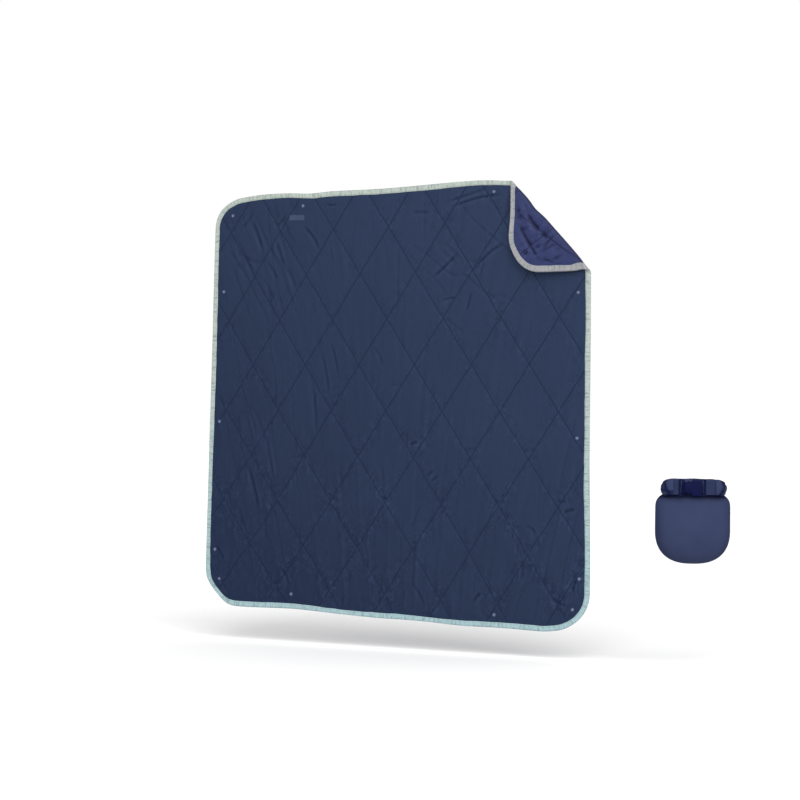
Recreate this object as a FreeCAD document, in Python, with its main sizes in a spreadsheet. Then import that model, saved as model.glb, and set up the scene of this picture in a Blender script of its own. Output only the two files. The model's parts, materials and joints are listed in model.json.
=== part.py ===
import FreeCAD, Part
import os

# Quilted camp blanket, hung upright by its top hem with one corner folded to the front,
# and the roll-top sack it packs into. Millimetres. The origin is the middle of the top hem,
# +Z is up, and the face of the blanket looks towards -Y.

SIZES = {
    # Blanket panel
    "blanket_size": 1450.0,
    "corner_radius": 115.0,
    "fabric_thickness": 0.6,
    "batting_thickness": 4.8,
    "binding_width": 18.0,
    "binding_thickness": 0.8,
    "layer_inset": 1.0,
    # Folded corner
    "fold_leg": 305.0,
    "fold_gap": 10.0,
    "body_clearance": 0.3,
    # Press snaps
    "cap_radius": 7.0,
    "cap_rim": 1.0,
    "cap_crown": 1.4,
    "cap_crown_radius": 3.6,
    "post_radius": 2.0,
    "post_clearance": 0.15,
    "socket_radius": 6.5,
    "socket_height": 1.8,
    # Blank label patch
    "label_width": 62.0,
    "label_height": 20.0,
    "label_thickness": 0.4,
    "label_from_side": 345.0,
    "label_from_top": 86.0,
    # Packed sack
    "sack_width": 236.0,
    "sack_depth": 124.0,
    "sack_height": 214.0,
    "sack_x": 1081.0,
    "sack_z": -1226.0,
    "sack_turn": 28.0,
    "roll_half_height": 27.0,
    "roll_half_depth": 16.0,
    "roll_reach": 67.0,
    "roll_bend": 21.0,
    # Webbing and side-release buckle
    "webbing_width": 46.0,
    "webbing_thickness": 1.6,
    "webbing_tail": 12.0,
    "buckle_left": 50.0,
    "buckle_right": 36.0,
    "buckle_side": 4.0,
    "buckle_thickness": 13.0,
    "buckle_wall": 2.0,
    "socket_length": 69.0,
    "socket_cavity_length": 40.0,
    "webbing_slot": 5.0,
    "slot_bar": 6.0,
    "window_length": 20.0,
    "window_from_mouth": 4.0,
    "tongue_width": 8.0,
    "tongue_length": 34.0,
    "tongue_thickness": 5.0,
    "arm_length": 24.0,
    "arm_thickness": 7.0,
    "arm_inner": 9.0,
    "arm_width": 4.0,
    "pad_length": 16.0,
    "pad_outer": 20.0,
    "pad_clearance": 0.5,
}

# Press snaps: distance in from the left or right edge, and down or up from the top or bottom edge.
SNAPS = {
    "corner_top_left": ("left", 74.0, "top", 66.0),
    "corner_bottom_left": ("left", 52.0, "bottom", 92.0),
    "corner_bottom_right": ("right", 58.0, "bottom", 62.0),
    "top_left": ("left", 370.0, "top", 44.0),
    "top_right": ("right", 358.0, "top", 40.0),
    "left_upper": ("left", 44.0, "top", 338.0),
    "left_middle": ("left", 40.0, "top", 793.0),
    "left_lower": ("left", 38.0, "bottom", 204.0),
    "bottom_left": ("left", 340.0, "bottom", 52.0),
    "bottom_right": ("right", 334.0, "bottom", 42.0),
    "right_upper": ("right", 43.0, "top", 363.0),
    "right_middle": ("right", 43.0, "top", 836.0),
    "right_lower": ("right", 36.0, "bottom", 160.0),
}
FLAP_SNAP = ("right", 58.0, "top", 64.0)

# Sack outline: height, half width and half depth, each as a share of the full size.
SACK_STATIONS = (
    (0.00, 0.50, 0.30),
    (0.05, 0.70, 0.58),
    (0.17, 0.87, 0.84),
    (0.38, 0.98, 1.00),
    (0.62, 1.00, 0.98),
    (0.84, 0.97, 0.74),
    (0.95, 0.90, 0.50),
    (1.00, 0.82, 0.36),
)

doc = FreeCAD.newDocument("camp_blanket")
sheet = doc.addObject("Spreadsheet::Sheet", "Sizes")


def write_size(name, value):
    """Adds one named size to the sheet."""
    row = write_size.row
    sheet.set(f"A{row}", name)
    sheet.set(f"B{row}", str(value))
    sheet.setAlias(f"B{row}", name)
    write_size.row = row + 1


write_size.row = 1
for size_name, size_value in SIZES.items():
    write_size(size_name, size_value)
for snap_name, (side, across, end, along) in SNAPS.items():
    write_size(f"snap_{snap_name}_across", across)
    write_size(f"snap_{snap_name}_along", along)
write_size("snap_flap_across", FLAP_SNAP[1])
write_size("snap_flap_along", FLAP_SNAP[3])
doc.recompute()

# Sizes that follow from the driving ones.
HALF = "Sizes.blanket_size / 2"
THICKNESS = "(2 * Sizes.fabric_thickness + Sizes.batting_thickness)"
FRONT = f"(-{THICKNESS} / 2)"
BACK = f"({THICKNESS} / 2)"
BEND_INNER = "(Sizes.fold_gap / 2)"
BEND_OUTER = f"(Sizes.fold_gap / 2 + {THICKNESS})"
BEND_LENGTH = f"(pi * (Sizes.fold_gap + {THICKNESS}) / 2)"
FOLD_Y = f"({FRONT} - Sizes.fold_gap / 2)"
FOLD_X = f"({HALF} - Sizes.fold_leg / 2)"
FOLD_Z = "(-Sizes.fold_leg / 2)"
HINGE_X = f"({FOLD_X} + {BEND_LENGTH} / (2 * sqrt(2)))"
HINGE_Z = f"({FOLD_Z} + {BEND_LENGTH} / (2 * sqrt(2)))"
BIND_THICKNESS = f"({THICKNESS} + 2 * Sizes.binding_thickness)"
BUCKLE_HEIGHT = "(Sizes.webbing_width + 2 * Sizes.buckle_side)"
CAVITY_HEIGHT = "(2 * (Sizes.pad_outer + Sizes.pad_clearance))"
BUCKLE_Y = "(-2 * Sizes.roll_bend)"
BUCKLE_Z = "(Sizes.sack_height + Sizes.roll_half_height)"
SOCKET_LEFT = "(Sizes.buckle_right - Sizes.socket_length)"
PLUG_RIGHT = f"({SOCKET_LEFT} - Sizes.body_clearance)"

ALONG_Y = FreeCAD.Rotation(FreeCAD.Vector(1, 0, 0), 90)
FLIP = FreeCAD.Rotation(FreeCAD.Vector(-1, 0, 1), 180)
FOLD_TURN = FreeCAD.Rotation(FreeCAD.Vector(0, 1, 0), 45)
BEND_TURN = FreeCAD.Rotation(FreeCAD.Vector(0, 1, 0), 135) * FreeCAD.Rotation(FreeCAD.Vector(0, 0, 1), 90)
STAND_UP = FreeCAD.Rotation(FreeCAD.Vector(0, 1, 0), -90)

nodes = []


def move(obj, x="0", y="0", z="0"):
    """Binds an object's position to three expressions."""
    for axis, text in (("x", x), ("y", y), ("z", z)):
        obj.setExpression(f"Placement.Base.{axis}", text)
    return obj


def bind(obj, **sizes):
    """Binds an object's named properties to expressions."""
    for prop, text in sizes.items():
        obj.setExpression(prop, text)
    return obj


def box(name, low, size):
    """A box from its low corner and its three sizes, all expressions."""
    obj = doc.addObject("Part::Box", name)
    bind(obj, Length=size[0], Width=size[1], Height=size[2])
    return move(obj, *low)


def rod(name, radius, length, x, y, z):
    """A cylinder that runs from its base point towards -Y."""
    obj = doc.addObject("Part::Cylinder", name)
    bind(obj, Radius=radius, Height=length)
    obj.Placement.Rotation = ALONG_Y
    return move(obj, x, y, z)


def fuse(name, shapes):
    """One solid from several."""
    obj = doc.addObject("Part::MultiFuse", name)
    obj.Shapes = shapes
    obj.Refine = True
    return obj


def cut(name, base, tool):
    """One solid less another."""
    obj = doc.addObject("Part::Cut", name)
    obj.Base = base
    obj.Tool = tool
    obj.Refine = True
    return obj


def common(name, first, second):
    """What two solids share."""
    obj = doc.addObject("Part::Common", name)
    obj.Base = first
    obj.Tool = second
    obj.Refine = True
    return obj


def node(obj, label):
    """Registers a finished piece under its own name."""
    obj.Label = label
    nodes.append(obj)
    return obj


def fold_over(obj):
    """Turns a piece of the flat corner half a turn about the fold, onto the face."""
    obj.Placement.Rotation = FLIP
    return move(obj, f"{HINGE_X} + {HINGE_Z}", f"2 * {FOLD_Y}", f"{HINGE_X} + {HINGE_Z}")


def hang_sack(obj):
    """Puts a piece of the sack, drawn about its own base, where the sack hangs."""
    obj.Placement.Rotation = FreeCAD.Rotation(FreeCAD.Vector(0, 0, 1), SIZES["sack_turn"])
    obj.setExpression("Placement.Rotation.Angle", "Sizes.sack_turn")
    return move(obj, "Sizes.sack_x", "0", "Sizes.sack_z")


def rounded_plate(name, inset, front, thickness):
    """A square plate with round corners, inset from the blanket's outline."""
    size = f"(Sizes.blanket_size - 2 * {inset})"
    straight = "(Sizes.blanket_size - 2 * Sizes.corner_radius)"
    low_x = f"-{HALF} + {inset}"
    low_z = f"-Sizes.blanket_size + {inset}"
    shapes = [
        box(
            f"{name}_wide",
            (low_x, front, "-Sizes.blanket_size + Sizes.corner_radius"),
            (size, thickness, straight),
        ),
        box(
            f"{name}_tall",
            (f"-{HALF} + Sizes.corner_radius", front, low_z),
            (straight, thickness, size),
        ),
    ]
    for tag, x, z in (
        ("a", f"-{HALF} + Sizes.corner_radius", "-Sizes.corner_radius"),
        ("b", f"{HALF} - Sizes.corner_radius", "-Sizes.corner_radius"),
        ("c", f"-{HALF} + Sizes.corner_radius", "-Sizes.blanket_size + Sizes.corner_radius"),
        ("d", f"{HALF} - Sizes.corner_radius", "-Sizes.blanket_size + Sizes.corner_radius"),
    ):
        shapes.append(
            rod(f"{name}_{tag}", f"Sizes.corner_radius - {inset}", thickness, x, f"{front} + {thickness}", z)
        )
    return fuse(name, shapes)


def corner_box(name, start):
    """A block that holds everything past a line parallel to the fold, start mm beyond it."""
    reach = "Sizes.fold_leg"
    obj = doc.addObject("Part::Box", name)
    bind(obj, Length=f"4 * {reach}", Width=f"2 * {reach}", Height=f"2 * {reach}")
    obj.Placement.Rotation = FOLD_TURN
    return move(
        obj,
        f"{FOLD_X} + ({start} - 2 * {reach}) / sqrt(2)",
        f"-{reach}",
        f"{FOLD_Z} + ({start} + 2 * {reach}) / sqrt(2)",
    )


def snap_place(snap):
    """Expressions for a snap's x and z, from the two edges it is measured from."""
    name, (snap_side, _, snap_end, _) = snap
    across = f"Sizes.snap_{name}_across"
    along = f"Sizes.snap_{name}_along"
    x = f"-{HALF} + {across}" if snap_side == "left" else f"{HALF} - {across}"
    z = f"-{along}" if snap_end == "top" else f"-Sizes.blanket_size + {along}"
    return x, z


def snap_hole(name, x, z):
    """The hole through all layers that a snap's post passes."""
    reach = f"2 * {THICKNESS}"
    return rod(f"hole_{name}", "Sizes.post_radius + Sizes.post_clearance", reach, x, THICKNESS, z)


def snap_cap(name, x, z):
    """A domed cap on the face with the post that passes through the layers."""
    rim = rod(f"cap_rim_{name}", "Sizes.cap_radius", "Sizes.cap_rim", x, FRONT, z)
    crown = doc.addObject("Part::Cone", f"cap_crown_{name}")
    bind(crown, Radius1="Sizes.cap_radius", Radius2="Sizes.cap_crown_radius", Height="Sizes.cap_crown")
    crown.Placement.Rotation = ALONG_Y
    move(crown, x, f"{FRONT} - Sizes.cap_rim", z)
    post_length = f"{THICKNESS} + 2 * Sizes.socket_height / 3"
    post_end = f"{BACK} + 2 * Sizes.socket_height / 3"
    post = rod(f"cap_post_{name}", "Sizes.post_radius", post_length, x, post_end, z)
    return fuse(f"cap_{name}", [rim, crown, post])


def snap_socket(name, x, z):
    """A round socket on the back, held by the post."""
    end = f"{BACK} + Sizes.socket_height"
    ring = rod(f"socket_ring_{name}", "Sizes.socket_radius", "Sizes.socket_height", x, end, z)
    return cut(f"socket_{name}", ring, snap_hole(f"socket_{name}", x, z))


# The layers of the flat panel, bottom to top as they are sewn, and what each covers in depth.
LAYERS = {
    "face_fabric": (FRONT, "Sizes.fabric_thickness"),
    "fill_batting": (f"{FRONT} + Sizes.fabric_thickness", "Sizes.batting_thickness"),
    "back_fabric": (f"{BACK} - Sizes.fabric_thickness", "Sizes.fabric_thickness"),
}
FLAP_LABELS = {
    "face_fabric": "flap_face_fabric",
    "fill_batting": "flap_fill_batting",
    "back_fabric": "flap_back_fabric",
}

past_fold = corner_box("past_fold", "-Sizes.body_clearance")
past_bend = corner_box("past_bend", BEND_LENGTH)
panel_holes = fuse("panel_holes", [snap_hole(item[0], *snap_place(item)) for item in SNAPS.items()])
flap_place = snap_place(("flap", FLAP_SNAP))
flap_hole = snap_hole("flap", *flap_place)

for layer, (front, depth) in LAYERS.items():
    main_plate = rounded_plate(f"{layer}_plate", "Sizes.layer_inset", front, depth)
    kept = cut(f"{layer}_kept", main_plate, past_fold)
    node(cut(f"{layer}_panel", kept, panel_holes), layer)
    corner_plate = rounded_plate(f"{layer}_corner_plate", "Sizes.layer_inset", front, depth)
    corner = common(f"{layer}_corner", corner_plate, past_bend)
    node(fold_over(cut(f"{layer}_flap", corner, flap_hole)), FLAP_LABELS[layer])


def binding_ring(name):
    """The folded tape all round the square: an outer plate less its window and the layers it grips."""
    front = f"{FRONT} - Sizes.binding_thickness"
    outer = rounded_plate(f"{name}_outer", "0", front, BIND_THICKNESS)
    window = rounded_plate(f"{name}_window", "Sizes.binding_width", f"2 * {front}", f"2 * {BIND_THICKNESS}")
    gripped = rounded_plate(f"{name}_gripped", "Sizes.layer_inset", FRONT, THICKNESS)
    return cut(f"{name}_ring", cut(f"{name}_frame", outer, window), gripped)


node(cut("binding_main", binding_ring("binding_main"), past_fold), "edge_binding")
node(fold_over(common("binding_flap", binding_ring("binding_flap"), past_bend)), "flap_binding")


def half_round(name, radius, margin):
    """Half a cylinder along the fold, on the side away from the panel."""
    obj = doc.addObject("Part::Cylinder", name)
    obj.Angle = 180
    length = f"(sqrt(2) * Sizes.fold_leg - 2 * {BEND_LENGTH} + 2 * {margin})"
    bind(obj, Radius=radius, Height=length)
    obj.Placement.Rotation = BEND_TURN
    return move(
        obj,
        f"{FOLD_X} - {length} / (2 * sqrt(2))",
        FOLD_Y,
        f"{FOLD_Z} + {length} / (2 * sqrt(2))",
    )


node(
    cut("bend", half_round("bend_outer", BEND_OUTER, "0"), half_round("bend_inner", BEND_INNER, "10")),
    "fold_bend",
)

for item in SNAPS.items():
    node(snap_cap(item[0], *snap_place(item)), f"snap_cap_{item[0]}")
    node(snap_socket(item[0], *snap_place(item)), f"snap_socket_{item[0]}")
node(fold_over(snap_cap("flap_corner", *flap_place)), "snap_cap_flap_corner")
node(fold_over(snap_socket("flap_corner", *flap_place)), "snap_socket_flap_corner")

label = box(
    "label",
    (
        f"-{HALF} + Sizes.label_from_side - Sizes.label_width / 2",
        f"{FRONT} - Sizes.label_thickness",
        "-Sizes.label_from_top - Sizes.label_height / 2",
    ),
    ("Sizes.label_width", "Sizes.label_thickness", "Sizes.label_height"),
)
node(label, "label_patch")

# The packed sack, drawn about the middle of its base.
rings = []
for number, (height, wide, deep) in enumerate(SACK_STATIONS):
    ring = doc.addObject("Part::Ellipse", f"sack_ring_{number}")
    bind(ring, MajorRadius=f"Sizes.sack_width / 2 * {wide}", MinorRadius=f"Sizes.sack_depth / 2 * {deep}")
    rings.append(move(ring, z=f"Sizes.sack_height * {height}"))
sack = doc.addObject("Part::Loft", "sack_loft")
sack.Sections = rings
sack.Solid = True
node(hang_sack(sack), "sack_body")


def roll_section(name, x):
    """The upright oval section of the rolled neck."""
    obj = doc.addObject("Part::Ellipse", name)
    bind(obj, MajorRadius="Sizes.roll_half_height", MinorRadius="Sizes.roll_half_depth")
    obj.Placement.Rotation = STAND_UP
    return move(obj, x, "0", BUCKLE_Z)


def roll_end(name, x, turn):
    """One end of the roll, bent half a turn to the front."""
    obj = doc.addObject("Part::Revolution", name)
    obj.Source = roll_section(f"{name}_section", x)
    obj.Axis = FreeCAD.Vector(0, 0, turn)
    obj.Angle = 180
    obj.Solid = True
    bind(obj, **{"Base.x": x, "Base.y": "-Sizes.roll_bend"})
    return obj


bar = doc.addObject("Part::Extrusion", "roll_bar")
bar.Base = roll_section("roll_bar_section", "-Sizes.roll_reach")
bar.DirMode = "Custom"
bar.Dir = FreeCAD.Vector(1, 0, 0)
bar.Solid = True
bind(bar, LengthFwd="2 * Sizes.roll_reach")
node(hang_sack(fuse("roll", [bar, roll_end("roll_right", "Sizes.roll_reach", -1)])), "sack_roll")
node(hang_sack(roll_end("roll_left", "-Sizes.roll_reach", 1)), "roll_end_left")

webbing_front = f"{BUCKLE_Y} - Sizes.webbing_thickness / 2"
webbing_bottom = f"{BUCKLE_Z} - Sizes.webbing_width / 2"
for side, start, end, tail_start in (
    ("left", "-Sizes.roll_reach", "-Sizes.buckle_left", "-Sizes.buckle_left - Sizes.webbing_tail"),
    ("right", "Sizes.buckle_right", "Sizes.roll_reach", "Sizes.buckle_right"),
):
    strip = box(
        f"webbing_strip_{side}",
        (start, webbing_front, webbing_bottom),
        (f"{end} - ({start})", "Sizes.webbing_thickness", "Sizes.webbing_width"),
    )
    # The end that passes through the buckle is folded back and sewn down behind the strip.
    tail = box(
        f"webbing_tail_{side}",
        (tail_start, f"{webbing_front} + Sizes.webbing_thickness", webbing_bottom),
        ("Sizes.webbing_tail", "Sizes.webbing_thickness", "Sizes.webbing_width"),
    )
    node(hang_sack(fuse(f"webbing_{side}", [strip, tail])), f"webbing_{side}")


def buckle_box(name, left, length, thickness, bottom, height):
    """A block of the buckle: left end and length, thickness about its middle, bottom and height about it."""
    low = (left, f"{BUCKLE_Y} - {thickness} / 2", f"{BUCKLE_Z} + {bottom}")
    return box(name, low, (length, thickness, height))


def webbing_slot(name, left):
    """The slot that a webbing end passes through."""
    height = "(Sizes.webbing_width + 1)"
    return buckle_box(name, left, "Sizes.webbing_slot", "2 * Sizes.buckle_thickness", f"-{height} / 2", height)


shell = buckle_box(
    "socket_shell",
    SOCKET_LEFT,
    "Sizes.socket_length",
    "Sizes.buckle_thickness",
    f"-{BUCKLE_HEIGHT} / 2",
    BUCKLE_HEIGHT,
)
cavity_depth = "(Sizes.buckle_thickness - 2 * Sizes.buckle_wall)"
cavity = buckle_box(
    "socket_cavity",
    f"{SOCKET_LEFT} - 1",
    "Sizes.socket_cavity_length + 1",
    cavity_depth,
    f"-{CAVITY_HEIGHT} / 2",
    CAVITY_HEIGHT,
)
windows = buckle_box(
    "socket_windows",
    f"{SOCKET_LEFT} + Sizes.window_from_mouth",
    "Sizes.window_length",
    cavity_depth,
    f"-{BUCKLE_HEIGHT}",
    f"2 * {BUCKLE_HEIGHT}",
)
socket_slot = webbing_slot("socket_slot", "Sizes.buckle_right - Sizes.slot_bar - Sizes.webbing_slot")
node(hang_sack(cut("socket", shell, fuse("socket_hollows", [cavity, windows, socket_slot]))), "buckle_socket")

plug_length = f"({PLUG_RIGHT} + Sizes.buckle_left)"
plug_block = buckle_box(
    "plug_block",
    "-Sizes.buckle_left",
    plug_length,
    "Sizes.buckle_thickness",
    f"-{BUCKLE_HEIGHT} / 2",
    BUCKLE_HEIGHT,
)
tongue = buckle_box(
    "plug_tongue",
    PLUG_RIGHT,
    "Sizes.tongue_length",
    "Sizes.tongue_thickness",
    "-Sizes.tongue_width / 2",
    "Sizes.tongue_width",
)
plug_slot = webbing_slot("plug_slot", "-Sizes.buckle_left + Sizes.slot_bar")
node(hang_sack(cut("plug", fuse("plug_solid", [plug_block, tongue]), plug_slot)), "buckle_plug")

arm_start = f"({PLUG_RIGHT} + Sizes.body_clearance)"
pad_start = f"({arm_start} + Sizes.arm_length - Sizes.pad_length)"
pad_width = "(Sizes.pad_outer - Sizes.arm_inner)"
for side, stem_bottom, pad_bottom in (
    ("upper", "Sizes.arm_inner", "Sizes.arm_inner"),
    ("lower", "-Sizes.arm_inner - Sizes.arm_width", "-Sizes.pad_outer"),
):
    depth = "Sizes.arm_thickness"
    stem = buckle_box(f"arm_stem_{side}", arm_start, "Sizes.arm_length", depth, stem_bottom, "Sizes.arm_width")
    pad = buckle_box(f"arm_pad_{side}", pad_start, "Sizes.pad_length", depth, pad_bottom, pad_width)
    node(hang_sack(fuse(f"arm_{side}", [stem, pad])), f"buckle_arm_{side}")

doc.recompute()

for obj in doc.Objects:
    if "Invalid" in obj.State or "Error" in obj.State:
        raise RuntimeError(f"{obj.Name} did not compute: {obj.State}")
for obj in nodes:
    if obj.Shape.isNull() or not obj.Shape.isValid() or not obj.Shape.Solids:
        raise RuntimeError(f"{obj.Label} has no valid solid")

os.makedirs("parts", exist_ok=True)
for obj in nodes:
    obj.Shape.exportStep(f"parts/{obj.Label}.step")
    bounds = obj.Shape.BoundBox
    print(
        f"{obj.Label:32s} {len(obj.Shape.Solids)} solid"
        f" x {bounds.XMin:8.1f} {bounds.XMax:8.1f}"
        f" y {bounds.YMin:7.1f} {bounds.YMax:7.1f}"
        f" z {bounds.ZMin:8.1f} {bounds.ZMax:8.1f}"
    )
print(len(nodes), "pieces")
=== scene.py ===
"""A quilted camp blanket with one corner folded over, and the roll-top sack it packs into.

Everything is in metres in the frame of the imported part: the origin is the middle of the top
hem, +Z is up and the face of the blanket looks towards -Y.
"""

import json
import logging
import math
from dataclasses import dataclass
from enum import Enum

import bpy
import numpy as np
from mathutils import Matrix, Vector


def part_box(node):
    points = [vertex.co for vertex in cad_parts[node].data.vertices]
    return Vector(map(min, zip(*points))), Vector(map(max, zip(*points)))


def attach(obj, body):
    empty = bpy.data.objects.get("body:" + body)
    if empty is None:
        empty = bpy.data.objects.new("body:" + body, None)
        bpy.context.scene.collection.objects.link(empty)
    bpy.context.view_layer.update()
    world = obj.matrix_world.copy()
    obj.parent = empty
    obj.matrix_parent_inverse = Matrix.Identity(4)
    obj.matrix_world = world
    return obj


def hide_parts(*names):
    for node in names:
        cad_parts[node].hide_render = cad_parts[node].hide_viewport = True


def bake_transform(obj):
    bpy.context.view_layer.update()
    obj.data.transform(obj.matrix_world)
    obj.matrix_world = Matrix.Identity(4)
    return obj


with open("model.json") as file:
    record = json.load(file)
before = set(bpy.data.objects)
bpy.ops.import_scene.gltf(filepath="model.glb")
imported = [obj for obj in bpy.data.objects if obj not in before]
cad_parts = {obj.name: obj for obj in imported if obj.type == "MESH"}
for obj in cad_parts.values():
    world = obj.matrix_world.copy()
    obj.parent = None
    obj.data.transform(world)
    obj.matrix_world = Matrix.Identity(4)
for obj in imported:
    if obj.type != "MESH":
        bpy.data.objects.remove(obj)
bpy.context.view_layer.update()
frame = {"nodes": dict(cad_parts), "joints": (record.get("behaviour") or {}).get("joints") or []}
LOG = logging.getLogger("camp_blanket")

Array = np.ndarray
MM = 0.001


class Side(Enum):
    """Which of the two cloths of the quilt a surface belongs to."""

    FACE = 1.0
    REVERSE = -1.0


# ---------------------------------------------------------------- small helpers


def linear_colour(code: str) -> tuple[float, float, float, float]:
    """Turns an sRGB hex colour to linear light.

    Args:
        code: six hex digits with a leading "#".

    Returns:
        Linear red, green, blue and an alpha of 1.
    """
    parts = [int(code[i : i + 2], 16) / 255 for i in (1, 3, 5)]
    lin = [p / 12.92 if p <= 0.04045 else ((p + 0.055) / 1.055) ** 2.4 for p in parts]
    return (*lin, 1.0)


def ease(t: Array) -> Array:
    """Smooth step: 3t squared less 2t cubed, with t held between 0 and 1."""
    t = np.clip(t, 0.0, 1.0)
    return t * t * (3.0 - 2.0 * t)


def value_noise(x: Array, y: Array, seed: int) -> Array:
    """Smooth random field from -1 to 1 with about one feature per unit.

    A table of random heights on whole coordinates is read at the four nearest corners and
    mixed with the smooth step.

    Args:
        x: first coordinate.
        y: second coordinate.
        seed: picks the table.

    Returns:
        The field, in the shape of x.
    """
    count = 256
    table = np.random.default_rng(seed).uniform(-1.0, 1.0, (count, count))
    xi, yi = np.floor(x).astype(int), np.floor(y).astype(int)
    fx, fy = ease(x - xi), ease(y - yi)
    left, right, low, high = xi % count, (xi + 1) % count, yi % count, (yi + 1) % count
    near = table[left, low] * (1 - fx) + table[right, low] * fx
    far = table[left, high] * (1 - fx) + table[right, high] * fx
    return near * (1 - fy) + far * fy


def creases(x: Array, y: Array, width: float, seed: int) -> Array:
    """Thin ridges: one where a noise field crosses zero, falling off as a bell curve.

    Args:
        x: coordinate across the creases, one crease spacing per unit.
        y: coordinate along them, one crease length per unit.
        width: share of the spacing that a crease takes.
        seed: picks the field.

    Returns:
        Height from 0 to 1.
    """
    return np.exp(-((value_noise(x, y, seed) / width) ** 2))


def patch(a: Array, b: Array, centre: tuple[float, float], reach: tuple[float, float]) -> Array:
    """A soft-edged oval mask: a bell curve about a centre, with its reach each way."""
    return np.exp(-(((a - centre[0]) / reach[0]) ** 2) - ((b - centre[1]) / reach[1]) ** 2)


def softened(grid: Array, cells: int) -> Array:
    """A grid averaged with its neighbours by a bell curve of this many cells, each way in turn.

    Args:
        grid: values on a grid.
        cells: reach of the bell curve.

    Returns:
        The smoothed grid.
    """
    reach = 2 * cells
    offsets = np.arange(-reach, reach + 1)
    weights = np.exp(-((offsets / cells) ** 2))
    weights /= weights.sum()
    result = grid
    for axis in (0, 1):
        margins = [(reach, reach) if k == axis else (0, 0) for k in (0, 1)]
        padded = np.pad(result, margins, mode="edge")
        places = np.arange(result.shape[axis]) + reach
        shifted = [np.take(padded, places + offset, axis=axis) for offset in offsets]
        result = sum(weight * part for weight, part in zip(weights, shifted))
    return result


@dataclass(frozen=True)
class Waves:
    """Soft random waves, with their height, their size each way in metres, and a seed."""

    height: float
    across: float
    along: float
    seed: int

    def rise(self, u: Array, v: Array) -> Array:
        """Height at a place: the noise field with one feature a wave, times the height."""
        return self.height * value_noise(u / self.across, v / self.along, self.seed)


@dataclass(frozen=True)
class Crease:
    """One pressed-in fold between two flat places of the cloth, in metres.

    A negative depth is a raised fold on the face, which is a pressed-in one on the reverse.
    """

    start: tuple[float, float]
    end: tuple[float, float]
    bow: float = 0.0
    width: float = 4.5 * MM
    depth: float = 2.4 * MM
    taper: float = 0.3

    def drop(self, a: Array, b: Array) -> Array:
        """Depth below the cloth.

        Across the fold it is a bell curve, and it fades out at both ends. The fold's line
        leaves the straight one between its ends by the bow times 4t(1 - t).

        Args:
            a: flat place across, in metres.
            b: flat place up, in metres: 0 at the top hem, less below.

        Returns:
            Depth at each place, 0 or more for a pressed-in fold.
        """
        along = np.subtract(self.end, self.start)
        span = float(np.hypot(*along))
        ux, uy = along / span
        t = ((a - self.start[0]) * ux + (b - self.start[1]) * uy) / span
        off = (b - self.start[1]) * ux - (a - self.start[0]) * uy - self.bow * 4 * t * (1 - t)
        ends = ease(t / self.taper) * ease((1 - t) / self.taper)
        return self.depth * np.exp(-((off / self.width) ** 2)) * ends


def grid_quads(rows: int, cols: int, wrap: bool = False) -> Array:
    """Quads over a grid of points numbered row by row.

    Args:
        rows: points down.
        cols: points across.
        wrap: joins the last column to the first.

    Returns:
        An array of four point numbers a quad.
    """
    index = np.arange(rows * cols).reshape(rows, cols)
    right = np.roll(index, -1, axis=1) if wrap else index[:, 1:]
    left = index if wrap else index[:, :-1]
    quads = np.stack([left[:-1], right[:-1], right[1:], left[1:]], axis=-1)
    return quads.reshape(-1, 4)


def mesh_piece(
    name: str,
    points: Array,
    quads: Array,
    finish: bpy.types.Material,
    uv: Array | None = None,
    flip: bool = False,
    painted_shading: Array | None = None,
) -> bpy.types.Object:
    """Makes one smooth-shaded mesh object from a point grid.

    Args:
        name: object name.
        points: positions, any leading shape, last axis of 3.
        quads: point numbers of each face.
        finish: its material.
        uv: position on the cloth of each point in metres, or None.
        flip: turns every face over.
        painted_shading: share of painted shade at each point, from 1 down to -1 for a painted
            highlight on a ridge, or None.

    Returns:
        The new object, linked to the scene and reported.
    """
    quads = quads[:, ::-1] if flip else quads
    mesh = bpy.data.meshes.new(name)
    mesh.from_pydata(points.reshape(-1, 3).tolist(), [], quads.tolist())
    mesh.materials.append(finish)
    mesh.polygons.foreach_set("use_smooth", np.ones(len(mesh.polygons), bool))
    if uv is not None:
        layer = mesh.uv_layers.new(name="UVMap")
        corners = np.zeros(len(mesh.loops), int)
        mesh.loops.foreach_get("vertex_index", corners)
        layer.data.foreach_set("uv", uv.reshape(-1, 2)[corners].ravel())
    if painted_shading is not None:
        mesh.attributes.new("painted_shading", "FLOAT", "POINT").data.foreach_set("value", painted_shading.ravel())
    mesh.update()
    piece = bpy.data.objects.new(name, mesh)
    bpy.context.scene.collection.objects.link(piece)
    LOG.info("%s: %d faces", name, len(mesh.polygons))
    return piece


def join_grids(grids: list[tuple[Array, Array]]) -> tuple[Array, Array]:
    """Puts several point grids and their quads into one list of each.

    Args:
        grids: points and quads of each part.

    Returns:
        All points, and all quads with their point numbers moved on.
    """
    offsets = np.cumsum([0] + [p.reshape(-1, 3).shape[0] for p, _ in grids])
    points = np.concatenate([p.reshape(-1, 3) for p, _ in grids])
    quads = np.concatenate([q + offset for (_, q), offset in zip(grids, offsets)])
    return points, quads


def add_node(
    tree: bpy.types.NodeTree,
    kind: str,
    settings: dict | None = None,
    links: dict | None = None,
) -> bpy.types.Node:
    """Adds a shader node with its settings and links.

    Args:
        tree: the material's node tree.
        kind: the node's type name, without the "ShaderNode" that each starts with.
        settings: attribute name, or input name or number, to its value.
        links: input name or number to the output socket that feeds it.

    Returns:
        The node.
    """
    made = tree.nodes.new(f"ShaderNode{kind}")
    for key, value in (settings or {}).items():
        if isinstance(key, str) and hasattr(made, key) and key not in made.inputs:
            setattr(made, key, value)
        else:
            made.inputs[key].default_value = value
    for key, socket in (links or {}).items():
        tree.links.new(socket, made.inputs[key])
    return made


# ---------------------------------------------------------------- finishes


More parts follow.
